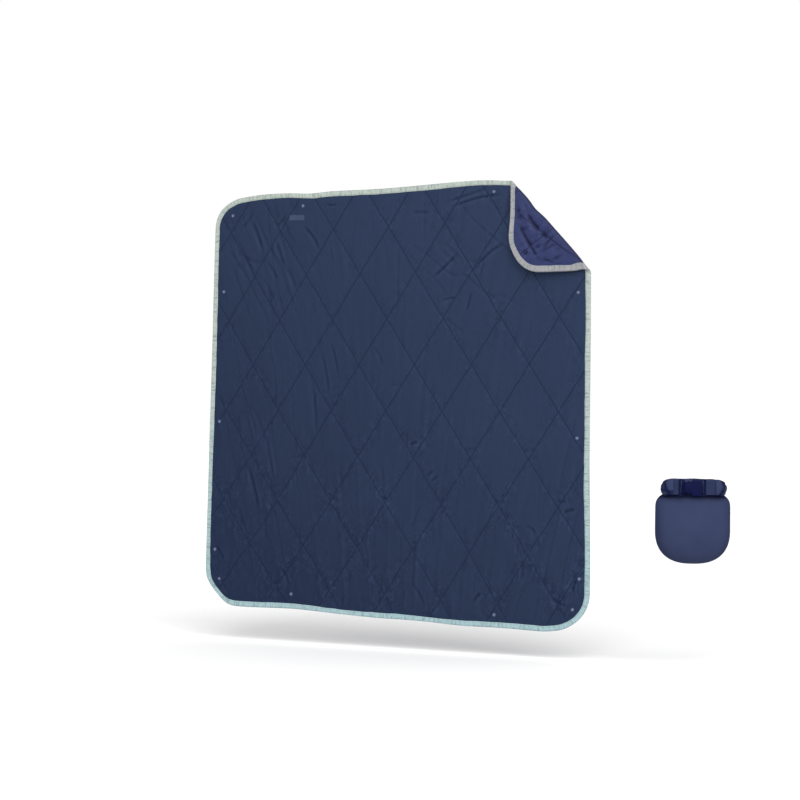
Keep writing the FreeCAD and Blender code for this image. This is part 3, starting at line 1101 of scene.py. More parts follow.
    def seam_puckers(self, a: Array, b: Array) -> Array:
        """Ripples along each seam, a bell curve wide across it, and a few at each crossing.

        Args:
            a: flat place across, in metres.
            b: flat place up, in metres: 0 at the top hem, less below.

        Returns:
            Height at each place.
        """
        first, second = self.seam_distance(a, b)
        across, down = self.steps(a, b)
        ripples_per_step = 34.0
        height = np.zeros_like(a)
        for near, along, seed in ((first, across - down, 21), (second, across + down, 22)):
            phase = along * ripples_per_step + 3.0 * value_noise(a / 0.04, b / 0.04, seed)
            strength = 0.3 + 0.7 * ease(value_noise(a / 0.17, b / 0.17, seed + 2) + 0.3)
            height += 0.32 * MM * strength * np.sin(phase) * np.exp(-((near / (20 * MM)) ** 2))
        crossing = np.exp(-(first**2 + second**2) / (28 * MM) ** 2)
        phase = b / (5.5 * MM) + 2.0 * value_noise(a / 0.03, b / 0.03, 25)
        return height + 0.45 * MM * crossing * np.sin(phase)

    def sway(self, a: Array, b: Array) -> Array:
        """How far the hanging cloth lies behind its plane: broad soft waves, never in front.

        The folded corner has its own lift, which grows to its tip.

        Args:
            a: flat place across, in metres.
            b: flat place up, in metres: 0 at the top hem, less below.

        Returns:
            Distance behind the plane, or in front of the panel on the corner.
        """
        corner_lift, corner_depth, settle = 17.0 * MM, 190 * MM, 160 * MM
        waves = 0.5 + 0.5 * value_noise(a / 0.33 + 3.1, b / 0.6, 51)
        gusts = 0.5 + 0.5 * value_noise(a / 0.16 + 7.7, b / 0.3, 52)
        past = self.past_fold(a, b)
        panel = (4.5 * waves + 2.0 * gusts) * MM * ease(-past / settle)
        reach = np.clip((past - self.bend_length) / corner_depth, 0.0, 1.2)
        return panel + (corner_lift + 4.0 * MM * value_noise(a / 0.07, b / 0.07, 53)) * reach

    def stray(self, x: Array, z: Array, beyond: Array) -> tuple[Array, Array]:
        """How the hung cloth strays in its own plane.

        The left edge creeps in at the top and out at the bottom, the right one out at the
        bottom. The top hem rises towards the fold and dips between the snaps, and the lower
        one slopes and its left corner is drawn in. The fold has one small kink, and the
        folded corner's lower edge bellies down. Beside the fold, shifts are halved, because
        the turn of the corner doubles them.

        Args:
            x: place across.
            z: place up.
            beyond: distance past the bend.

        Returns:
            The shifts across and up.
        """
        off = ((x + z) - (self.hinge.x + self.hinge.z)) / math.sqrt(2)
        along = ((x - z) - (self.hinge.x - self.hinge.z)) / math.sqrt(2)
        near_fold = 1 - 0.5 * np.exp(-((off / 0.06) ** 2))

        across = ease((-x - 0.4) / 0.32) * (0.014 + 0.031 * z / self.size)
        across += 6 * MM * ease((x - 0.45) / 0.25) * ease((-z - 0.8) / 0.5)
        across += 11 * MM * patch(x, z, (0.43, 0.0), (0.24, 0.22)) * near_fold
        lower_left = patch(x, z, (-0.72, -1.44), (0.08, 0.08))
        across += 19 * MM * lower_left

        up = 15 * MM * ease((x + 0.12) / 0.5) * np.exp(-((z / 0.24) ** 2)) * near_fold
        for depth, centre, reach in (
            (5 * MM, (-0.33, 0.0), (0.06, 0.10)),
            (4 * MM, (-0.60, 0.0), (0.08, 0.10)),
            (9 * MM, (-0.66, -0.01), (0.07, 0.07)),
        ):
            up -= depth * patch(x, z, centre, reach)
        lower_hem = np.exp(-(((z + self.size) / 0.08) ** 2))
        up += lower_hem * self.low_hem.rise(x, x * 0.0)
        low = ease((-z - 1.12) / 0.32)
        right_dip = ease(x / 0.3) * (1 - ease((x - 0.55) / 0.14))
        up += low * (12 * MM * ease(-x / 0.4) - 14 * MM * right_dip) + 15 * MM * lower_left

        kink = -4.5 * MM * np.exp(-(((along + 0.075) / 0.03) ** 2) - (off / 0.05) ** 2)
        tip = patch(x, z, (0.735, -0.31), (0.085, 0.07))
        under = np.exp(-(((z + 0.31) / 0.10) ** 2))
        belly = -15 * MM * under * ease((x - 0.40) / 0.08) * ease(beyond / 0.02)
        belly = belly * (1 - tip) - 8 * MM * tip
        return across + kink / math.sqrt(2), up + kink / math.sqrt(2) + belly

    def place(self, a: Array, b: Array, height: Array) -> Array:
        """Puts flat points into space.

        Before the bend a point keeps its x and z and its height goes towards -Y. In the bend
        it goes round a half circle about the bend's axis. Past it, it lies in front of the
        panel, mirrored in the fold, with its face towards the panel.

        Args:
            a: flat place across, in metres.
            b: flat place up, in metres: 0 at the top hem, less below.
            height: height along the cloth's face.

        Returns:
            Points in space.
        """
        rise = height - self.sway(a, b)
        past = self.past_fold(a, b)
        turn = np.clip(past / self.bend_length, 0.0, 1.0) * math.pi
        beyond = np.maximum(past - self.bend_length, 0.0)
        radius = self.bend_radius - rise
        flat = np.minimum(past, 0.0)
        out = flat + radius * np.sin(turn) - beyond
        depth = -self.bend_radius + radius * np.cos(turn)
        along = (a - b) / math.sqrt(2)
        diagonal = self.fold_start + out
        x = (diagonal + along) / math.sqrt(2)
        z = (diagonal - along) / math.sqrt(2)
        across, up = self.stray(x, z, beyond)
        return np.stack([x + across, depth, z + up], axis=-1)

    def unfold(self, x: float, z: float) -> tuple[float, float]:
        """Flat place of a point of the folded corner: the half turn about the fold, undone."""
        total = self.hinge.x + self.hinge.z
        return total - z, total - x


@dataclass
class Blanket:
    """The quilt, its tape, its patch and its press snaps."""

    form: QuiltForm
    grid_points: int = 311
    tape_width: float = 18.0 * MM
    tape_lift: float = 0.9 * MM
    tape_step: float = 4.0 * MM
    cap_radius: float = 7.0 * MM
    ring_points: int = 20

    def cloth(self) -> tuple[Array, Array]:
        """Flat points of the cut square with its corners rounded.

        In each corner block the square grid is drawn in to a quarter disc: each coordinate
        is shortened by the root of 1 less half the other's square.

        Returns:
            Flat places across and up, on a square grid.
        """
        form = self.form
        half = form.size / 2 - form.layer_inset
        radius = form.corner_radius - form.layer_inset
        span = np.linspace(-half, half, self.grid_points)
        p, q = np.meshgrid(span, span)
        cp = np.clip((np.abs(p) - (half - radius)) / radius, 0, 1)
        cq = np.clip((np.abs(q) - (half - radius)) / radius, 0, 1)
        core_p, core_q = (np.minimum(np.abs(v), half - radius) for v in (p, q))
        a = np.sign(p) * (core_p + radius * cp * np.sqrt(1 - cq**2 / 2))
        b = np.sign(q) * (core_q + radius * cq * np.sqrt(1 - cp**2 / 2))
        return a, b - form.size / 2

    def sheet(self, name: str, side: Side, finish: bpy.types.Material) -> bpy.types.Object:
        """One of the two cloths of the quilt: the cut square at half the loft on its side.

        Each point gets painted shade by how far it lies below the smoothed folds about it, and a
        painted highlight where it stands above them. On the reverse the crest of the fold gets
        painted shade too, along the folded edge.

        Args:
            name: object name.
            side: which of the two cloths.
            finish: its material.

        Returns:
            The cloth.
        """
        form = self.form
        a, b = self.cloth()
        folds = form.wrinkles(a, b)
        points = form.place(a, b, folds + side.value * form.half_thickness(a, b))
        uv = np.stack([a, b], axis=-1)
        quads = grid_quads(*a.shape)
        # Painted shade where positive, painted highlight where negative.
        sunk = side.value * (softened(folds, 2) - folds)
        full_depth = (1.9 if side is Side.FACE else 1.05) * MM
        painted_shading = np.clip(sunk / full_depth, -1.0, 0.95)
        # Painted shade along the folded edge.
        if side is Side.REVERSE:
            painted_shading = np.maximum(painted_shading, 0.85 * form.near_crest(a, b, 7 * MM))
        return mesh_piece(name, points, quads, finish, uv, side is Side.REVERSE, painted_shading)

    def outline(self) -> tuple[Array, Array, Array, Array]:
        """Walks the rounded outline.

        Returns:
            Flat place and outward direction at each step. Steps are finer across the fold.
        """
        form = self.form
        half, radius = form.size / 2, form.corner_radius
        straight = form.size - 2 * radius
        quarter = math.pi * radius / 2
        total = 4 * (straight + quarter)
        walk = np.arange(0.0, total, self.tape_step)
        fine = np.arange(-0.02, 0.06, 0.0012)
        marks = []
        for crossing in self.fold_crossings(straight, quarter):
            marks.append(crossing + fine)
        walk = np.unique(np.concatenate([walk, *marks]) % total)
        side = np.minimum((walk // (straight + quarter)).astype(int), 3)
        along = walk - side * (straight + quarter)
        bend = np.clip(along - straight, 0.0, quarter) / radius
        run = np.minimum(along, straight) - straight / 2
        # On the top side, which runs towards +X: run along it, then round the corner.
        u = run + radius * np.sin(bend)
        v = half - radius + radius * np.cos(bend)
        nu, nv = np.sin(bend), np.cos(bend)
        turn = -side * math.pi / 2
        cos, sin = np.cos(turn), np.sin(turn)
        a, b = u * cos - v * sin, u * sin + v * cos
        return a, b - form.size / 2, nu * cos - nv * sin, nu * sin + nv * cos

    def fold_crossings(self, straight: float, quarter: float) -> list[float]:
        """Where the fold crosses the outline, as distances walked from the top left.

        Args:
            straight: length of a straight side of the outline.
            quarter: length of a rounded corner.

        Returns:
            The two distances.
        """
        form = self.form
        on_top = form.fold_start * math.sqrt(2)
        first = on_top + straight / 2
        down_right = -(form.fold_start * math.sqrt(2) - form.size / 2)
        second = straight + quarter + down_right - form.corner_radius
        return [first, second - 0.04]

    def tape(self, name: str, finish: bpy.types.Material) -> bpy.types.Object:
        """The tape folded round the edge.

        Its section runs from the stitched edge on the face, out over a half circle at the
        rim, and back to the stitched edge on the reverse. Crosswise puckers swell it.

        Args:
            name: object name.
            finish: its material.

        Returns:
            The tape.
        """
        form = self.form
        a, b, na, nb = self.outline()
        rim = form.edge_half + self.tape_lift
        width = self.tape_width
        inner = np.array([width, width - 0.6 * MM, 14 * MM, 10 * MM, 6.5 * MM])
        level = rim + np.array([-1.6, -0.1, 0.1, 0.15, 0.05]) * MM
        angle = np.linspace(0.0, math.pi, 9)
        inset = np.concatenate([inner, rim - rim * np.sin(angle), inner[::-1]])
        height = np.concatenate([level, rim * np.cos(angle), -level[::-1]])
        walk = np.concatenate([[0.0], np.cumsum(np.hypot(np.diff(a), np.diff(b)))])
        share = np.clip(inset / width, 0, 1)
        pucker = value_noise(walk[:, None] / 0.0075, np.sign(height)[None, :] * 2.0 + 5.0, 61)
        swell = 1.0 + 0.20 * pucker * (4 * share * (1 - share))[None, :]
        wave = 1.6 * MM * value_noise(walk / 0.19, walk * 0.0, 62)
        wave += 0.7 * MM * value_noise(walk / 0.03, walk * 0.0, 63)
        depth = inset[None, :] + wave[:, None] * np.clip(inset / 0.006, 0.0, 1.0)[None, :]
        pa = a[:, None] - na[:, None] * depth
        pb = b[:, None] - nb[:, None] * depth
        points = form.place(pa, pb, height[None, :] * swell)
        side_sign = np.where(np.arange(len(inset)) < len(inset) / 2, 1.0, -1.0)
        along, inward = np.broadcast_arrays(walk[:, None], (inset * side_sign)[None, :])
        uv = np.stack([along, inward], axis=-1)
        count = len(a)
        quads = grid_quads(count, len(inset))
        last = np.arange(len(inset))
        tail = (count - 1) * len(inset)
        closing = np.stack([tail + last[:-1], tail + last[1:], last[1:], last[:-1]], axis=-1)
        return mesh_piece(name, points, np.concatenate([quads, closing]), finish, uv, flip=True)

    def lathe(
        self, centre: tuple[float, float], side: Side, radii: Array, rises: Array
    ) -> tuple[Array, Array]:
        """A turned button on the cloth: rings of these radii and rises about a flat place.

        Args:
            centre: flat place of its middle.
            side: which cloth it lies on.
            radii: radius of each ring.
            rises: height of each ring above the cloth.

        Returns:
            Points and quads.
        """
        form = self.form
        a0, b0 = np.array([centre[0]]), np.array([centre[1]])
        sunk = 0.3 * MM if side is Side.FACE else -1.6 * MM
        base = form.wrinkles(a0, b0) + side.value * (form.half_thickness(a0, b0) - sunk)
        step = 0.5 * MM
        across = form.place(a0 + step, b0, base) - form.place(a0 - step, b0, base)
        upward = form.place(a0, b0 + step, base) - form.place(a0, b0 - step, base)
        origin = form.place(a0, b0, base)[0]
        across, upward = (v[0] / np.linalg.norm(v[0]) for v in (across, upward))
        outward = np.cross(across, upward) * side.value
        turn = np.linspace(0.0, 2 * math.pi, self.ring_points, endpoint=False)
        ring = np.cos(turn)[:, None] * across + np.sin(turn)[:, None] * upward
        points = origin + radii[:, None, None] * ring[None] + rises[:, None, None] * outward
        return points, grid_quads(len(radii), len(turn), wrap=True)

    def buttons(
        self, name: str, centres: list[tuple[float, float]], side: Side, finish: bpy.types.Material
    ) -> bpy.types.Object:
        """Press snap caps or sockets, all of one kind, as one piece, with painted shade at the rim.

        Args:
            name: object name.
            centres: flat places of their middles.
            side: which cloth it lies on.
            finish: its material.

        Returns:
            The piece.
        """
        cap = self.cap_radius
        if side is Side.FACE:
            radii = np.array([1.0, 1.03, 1.0, 0.86, 0.80, 0.70, 0.5, 0.28, 0.001]) * cap
            rises = np.array([0.0, 0.5, 1.1, 1.35, 1.25, 1.75, 2.2, 2.4, 2.45]) * MM
            shade = np.array([1.0, 1.0, 1.0, 1.0, 0.9, 0.6, 0.25, 0.0, 0.0])
        else:
            radii = np.array([0.93, 0.95, 0.90, 0.66, 0.56, 0.50, 0.34, 0.28, 0.001]) * cap
            rises = np.array([0.0, 0.9, 1.7, 1.9, 1.7, 0.5, 0.45, 1.2, 1.3]) * MM
            shade = np.array([1.0, 1.0, 1.0, 1.0, 0.9, 0.6, 0.2, 0.2, 0.2])
        points, quads = join_grids([self.lathe(c, side, radii, rises) for c in centres])
        dark = np.tile(np.repeat(shade, self.ring_points), len(centres))
        return mesh_piece(name, points, quads, finish, flip=side is Side.REVERSE, painted_shading=dark)

    def patch_label(
        self, name: str, low: Vector, high: Vector, finish: bpy.types.Material
    ) -> bpy.types.Object:
        """The blank patch: a thin cloth rectangle laid on the face, its rim turned down.

        Args:
            name: object name.
            low: lowest corner of the patch's box.
            high: highest corner.
            finish: its material.

        Returns:
            The patch.
        """
        form = self.form
        u, v = np.meshgrid(np.linspace(0, 1, 33), np.linspace(0, 1, 13))
        a = low.x + (high.x - low.x) * u
        b = low.z + (high.z - low.z) * v
        shape = 0.35  # its height over its width, near enough
        rim = np.minimum.reduce([u, 1 - u, v * shape, (1 - v) * shape])
        lift = (-0.5 + 1.3 * ease(rim / 0.04)) * MM
        points = form.place(a, b, form.wrinkles(a, b) + form.half_thickness(a, b) + lift)
        return mesh_piece(name, points, grid_quads(*a.shape), finish, np.stack([a, b], -1))


# ---------------------------------------------------------------- the sack


@dataclass
class SackPlace:
    """Where the sack hangs: drawn about the middle of its base, then turned and moved."""

    origin: Vector
    turn: float

    def __call__(self, u: Array, v: Array, w: Array) -> Array:
        """Puts points across, behind and above the base into the shared frame.

        Args:
            u: places across.
            v: places behind.
            w: places above the base.

        Returns:
            Points in space.
        """
        cos, sin = math.cos(self.turn), math.sin(self.turn)
        x = self.origin.x + u * cos - v * sin
        y = self.origin.y + u * sin + v * cos
        return np.stack([x, y, self.origin.z + w], axis=-1)


@dataclass
class Sack:
    """The stuffed bag, its rolled neck, webbing and buckle."""

    place: SackPlace
    width: float = 236.0 * MM
    depth: float = 124.0 * MM
    height: float = 214.0 * MM
    roll_half_height: float = 27.0 * MM
    roll_half_depth: float = 16.0 * MM
    roll_reach: float = 67.0 * MM
    roll_bend: float = 21.0 * MM
    webbing_half: float = 23.0 * MM
    webbing_thickness: float = 1.6 * MM
    buckle_left: float = -50.0 * MM
    buckle_right: float = 36.0 * MM
    buckle_half: float = 27.0 * MM
    buckle_depth: float = 13.0 * MM
    socket_length: float = 69.0 * MM
    arm_length: float = 24.0 * MM
    rail_width: float = 4.0 * MM
    bar_points: int = 20

    @property
    def roll_level(self) -> float:
        """Height of the roll's middle above the base."""
        return self.height + self.roll_half_height

    @property
    def front(self) -> float:
        """How far in front the buckle and webbing lie."""
        return -2 * self.roll_bend

    def bag(self, name: str, finish: bpy.types.Material) -> bpy.types.Object:
        """The stuffed bag.

        Its front outline is a superellipse of power 2.5 below and a shoulder that narrows by
        the cube above. Its depth is an ellipse below and thins to the neck above. Gathers
        run down from the neck and die out. Its sides and the edge under the roll carry painted
        shade.

        Args:
            name: object name.
            finish: its material.

        Returns:
            The bag.
        """
        rows, cols = 120, 160
        bulge_level, base_level, neck_level, shoulder_level = 110 * MM, 85 * MM, 100 * MM, 165 * MM
        top = self.height + 6 * MM
        w = top * (1 - np.cos(np.linspace(0, math.pi, rows))) / 2
        t = np.linspace(0, 2 * math.pi, cols, endpoint=False)
        low = np.clip(1 - w / bulge_level, 0, 1)
        shoulder = np.clip((w - shoulder_level) / (top - shoulder_level), 0, 1)
        half_width = self.width / 2 * (1 - low**2.5) ** 0.4 * (1 - 0.22 * shoulder**4)
        base = np.clip(1 - w / base_level, 0, 1)
        neck = np.clip((w - neck_level) / (top - neck_level), 0, 1)
        half_depth = self.depth / 2 * np.sqrt(1 - base**2) * (1 - 0.74 * neck**1.7)
        cos, sin = np.cos(t)[None, :], np.sin(t)[None, :]
        power = 2 / 2.25
        u = half_width[:, None] * np.sign(cos) * np.abs(cos) ** power
        v = half_depth[:, None] * np.sign(sin) * np.abs(sin) ** power
        level = np.broadcast_to(w[:, None], u.shape)
        pull = ease((level - 0.12) / 0.09)
        gathers = value_noise(u / 0.013, level / 0.11, 71)
        gathers = gathers + 0.6 * value_noise(u / 0.006 + 9, level / 0.08, 72)
        dents = value_noise(u / 0.05 + 3, level / 0.05, 73)
        v = v * (1 + 0.06 * dents * (1 - pull)) + np.sign(sin) * gathers * 1.5 * MM * pull
        points = self.place(u, v, level)
        quads = grid_quads(rows, cols, wrap=True)
        # Painted shade: on the bag's sides and along the edge under the roll.
        side_shade, shade_under_roll = ease((np.abs(cos) - 0.72) / 0.26), ease((level - 0.202) / 0.010)
        dark = np.clip(0.22 * side_shade + 0.75 * shade_under_roll, 0.0, 0.9)
        return mesh_piece(name, points, quads, finish, painted_shading=dark)

    def roll_path(self, start: float, end: float, count: int) -> tuple[Array, Array, Array]:
        """The line of the rolled neck seen from above.

        It runs straight between the two bends and goes round a half circle to the front at
        each end. Distances are measured from its middle.

        Args:
            start: first distance along it.
            end: last distance along it.
            count: how many points.

        Returns:
            Place across, place behind, and the direction's angle.
        """
        s = np.linspace(start, end, count)
        over = np.clip((np.abs(s) - self.roll_reach) / self.roll_bend, 0, math.pi)
        straight = np.minimum(np.abs(s), self.roll_reach)
        across = np.sign(s) * (straight + self.roll_bend * np.sin(over))
        behind = -self.roll_bend + self.roll_bend * np.cos(over)
        return across, behind, np.sign(s) * over

    def roll(
        self, name: str, start: float, end: float, finish: bpy.types.Material
    ) -> bpy.types.Object:
        """A stretch of the rolled neck: an upright oval carried along its line.

        The oval narrows to the webbing at a bent end. Lengthwise creases show the turns of
        cloth, gathers pinch it where it bends, and one tuck crosses it near each end.
        Painted shade darkens the pinches, the tucks, the underside and the seam.

        Args:
            name: object name.
            start: where it starts, along its own line.
            end: where it ends.
            finish: its material.

        Returns:
            The stretch of roll.
        """
        count, around, taper = 110, 64, 30 * MM
        tip = self.roll_reach + math.pi * self.roll_bend
        s = np.linspace(start, end, count)
        across, behind, angle = self.roll_path(start, end, count)
        t = np.linspace(0, 2 * math.pi, around, endpoint=False)
        ending = ease((np.abs(s) - (tip - taper)) / taper)
        tall = self.roll_half_height * (1 - 0.10 * ending) * (1 - 0.04 * np.sin(s / 0.021) ** 2)
        deep = self.roll_half_depth * (1 - 0.62 * ending**2)
        grid_s = np.broadcast_to(s[:, None], (count, around))
        bent = ease((np.abs(grid_s) - self.roll_reach + 0.015) / 0.03)
        grid_t = np.broadcast_to(t[None, :], (count, around))
        layers = value_noise(grid_s / 0.06 + 4, grid_t * 3.2, 81)
        pinch = creases(grid_s / 0.016, np.sin(grid_t) * 1.4, 0.28, 82)
        seam = np.exp(-(((t - 4.1) / 0.10) ** 2))[None, :]
        tuck = np.exp(-(((np.abs(grid_s) - 0.116 + 0.006 * np.sin(t)) / 0.004) ** 2))
        swell = 1 + 0.07 * layers - 0.17 * pinch * bent - 0.10 * seam * (1 - bent) - 0.2 * tuck
        side = deep[:, None] * np.cos(t)[None, :] * swell
        rise = tall[:, None] * np.sin(t)[None, :] * (1 + 0.4 * (swell - 1))
        u = across[:, None] + side * np.sin(angle)[:, None]
        v = behind[:, None] + side * np.cos(angle)[:, None]
        droop = 2.5 * MM * ease((np.abs(s) - 0.05) / 0.05)
        w = self.roll_level - droop[:, None] + rise
        points = self.place(u, v, w)
        quads = grid_quads(count, around, wrap=True)
        # Painted shade: in the pinches where it bends, in the tucks, on the underside and along the
        # seam.
        below = ease((-np.sin(t)[None, :] - 0.72) / 0.25)
        dark = np.clip(0.9 * pinch * bent + 0.9 * tuck + 0.8 * below + 0.2 * seam, 0.0, 0.95)
        return mesh_piece(name, points, quads, finish, flip=True, painted_shading=dark)

    def webbing(
        self, name: str, start: float, end: float, finish: bpy.types.Material
    ) -> bpy.types.Object:
        """A flat strap: a thin rounded section carried straight across, slightly bowed.

        Args:
            name: object name.
            start: where it starts, along its own line.
            end: where it ends.
            finish: its material.

        Returns:
            The strap.
        """
        count, around = 24, 40
        u = np.linspace(start, end, count)
        t = np.linspace(0, 2 * math.pi, around, endpoint=False)
        rise = self.webbing_half * np.sign(np.cos(t)) * np.abs(np.cos(t)) ** 0.35
        thick = self.webbing_thickness / 2 * np.sign(np.sin(t)) * np.abs(np.sin(t)) ** 0.5
        bow = -1.5 * MM * np.sin(np.linspace(0, math.pi, count))
        points = self.place(
            np.broadcast_to(u[:, None], (count, around)),
            self.front + bow[:, None] + thick[None, :],
            np.broadcast_to(self.roll_level + rise, (count, around)),
        )
        return mesh_piece(name, points, grid_quads(count, around, wrap=True), finish, flip=True)

    def bar(self, along: Array, low: Array, high: Array, half_depth: Array) -> tuple[Array, Array]:
        """A moulded bar carried across, closed to a soft nose at both ends.

        Its section is a superellipse of power 0.35, between a low and a high edge.

        Args:
            along: places across.
            low: its lower edge above the buckle's middle line at each place.
            high: its upper edge.
            half_depth: half its thickness.

        Returns:
            Points and quads.
        """
        nose = 2.0 * MM
        left, right = (along - along[0]) / nose, (along[-1] - along) / nose
        inside = np.clip(np.minimum(left, right), 0, 1)
        closing = np.sqrt(1 - (1 - inside) ** 2) * 0.999 + 0.001
        turn = np.linspace(0, 2 * math.pi, 36, endpoint=False)
        up = np.sign(np.cos(turn)) * np.abs(np.cos(turn)) ** 0.35
        out = np.sign(np.sin(turn)) * np.abs(np.sin(turn)) ** 0.5
        centre, half = (low + high) / 2, (high - low) / 2
        reach = (half - nose * (1 - closing)) * np.minimum(1.0, closing * 3)
        shape = (len(along), len(turn))
        points = self.place(
            np.broadcast_to(along[:, None], shape),
            self.front + (half_depth * closing)[:, None] * out[None, :],
            self.roll_level + centre[:, None] + reach[:, None] * up[None, :],
        )
        return points, grid_quads(*shape, wrap=True)

    def slotted_end(self, start: float, end: float, outer: float) -> list[tuple[Array, Array]]:
        """The frame that webbing runs through: two rails, and a cross bar at the outer end.

        Args:
            start: where the rails begin.
            end: where they end.
            outer: which of the two the cross bar stands at.

        Returns:
            Points and quads of the three bars.
        """
        count, bar_width, thick = self.bar_points, 6 * MM, self.buckle_depth / 2
        tall = np.full(count, self.buckle_half)
        first = outer if outer == start else outer - bar_width
        bar = np.linspace(first, first + bar_width, count)
        rail = np.linspace(start, end, count)
        rail_depth = np.full(count, thick * 0.8)
        return [
            self.bar(bar, -tall, tall, np.full(count, thick * 0.75)),
            self.bar(rail, tall - self.rail_width, tall, rail_depth),
            self.bar(rail, -tall, self.rail_width - tall, rail_depth),
        ]

    def socket(self, name: str, finish: bpy.types.Material) -> bpy.types.Object:
        """The socket: a waisted shell with a thumb window each side, and a slotted end.

        The shell's half height dips by two smooth steps over the windows.

        Args:
            name: object name.
            finish: its material.

        Returns:
            The socket.
        """
        left, right = self.buckle_right - self.socket_length, self.buckle_right
        shell_length, slot_start = 58 * MM, 55 * MM
        u = np.linspace(left, left + shell_length, 60)
        dip = ease((u - left - 2 * MM) / (5 * MM)) * (1 - ease((u - left - 19 * MM) / (9 * MM)))
        mouth = 1 - ease((u - left - 20 * MM) / (8 * MM))
        half = self.buckle_half - 3.5 * MM * mouth - 11 * MM * dip
        depth = self.buckle_depth / 2 * (1 - 0.12 * dip)
        shell = self.bar(u, -half, half, depth)
        slotted = self.slotted_end(left + slot_start, right, right)
        return self.moulded(name, [shell, *slotted], finish)

    def plug(self, name: str, finish: bpy.types.Material) -> bpy.types.Object:
        """The plug: a slotted frame with a solid side, and its guide tongue.

        Args:
            name: object name.
            finish: its material.

        Returns:
            The plug.
        """
        left, right = self.buckle_left, self.buckle_right - self.socket_length - 0.3 * MM
        count = self.bar_points
        solid = np.linspace(left + 11 * MM, right, count)
        tongue = np.linspace(right - 4 * MM, right + 34 * MM, count)
        full, slim = np.full(count, self.buckle_half), np.full(count, 4 * MM)
        parts = [
            *self.slotted_end(left, right, left),
            self.bar(solid, -full, full, np.full(count, self.buckle_depth / 2)),
            self.bar(tongue, -slim, slim, np.full(count, 2.5 * MM)),
        ]
        return self.moulded(name, parts, finish)

    def arm(self, name: str, up: float, finish: bpy.types.Material) -> bpy.types.Object:
        """One flexing arm: a rounded bar that swells from its stem to the thumb pad.

        Args:
            name: object name.
            up: 1 for the upper arm, -1 for the lower.
            finish: its material.

        Returns:
            The arm.
        """
        start, count = self.buckle_right - self.socket_length, 48
        share = np.linspace(0, 1, count)
        u = start + self.arm_length * share
        inner = np.full(count, 9.2 * MM)
        pad = ease((share - 0.15) / 0.35) * (1 - 0.45 * ease((share - 0.72) / 0.28))
        outer = (13 + 6.9 * pad) * MM
        edges = sorted((up * inner, up * outer), key=lambda edge: edge[0])
        return self.moulded(name, [self.bar(u, *edges, np.full(count, 3.5 * MM))], finish)

    def moulded(
        self, name: str, parts: list[tuple[Array, Array]], finish: bpy.types.Material
    ) -> bpy.types.Object:
        """One moulded piece from bars that run into each other."""
        points, quads = join_grids(parts)
        return mesh_piece(name, points, quads, finish, flip=True)


# ---------------------------------------------------------------- studio


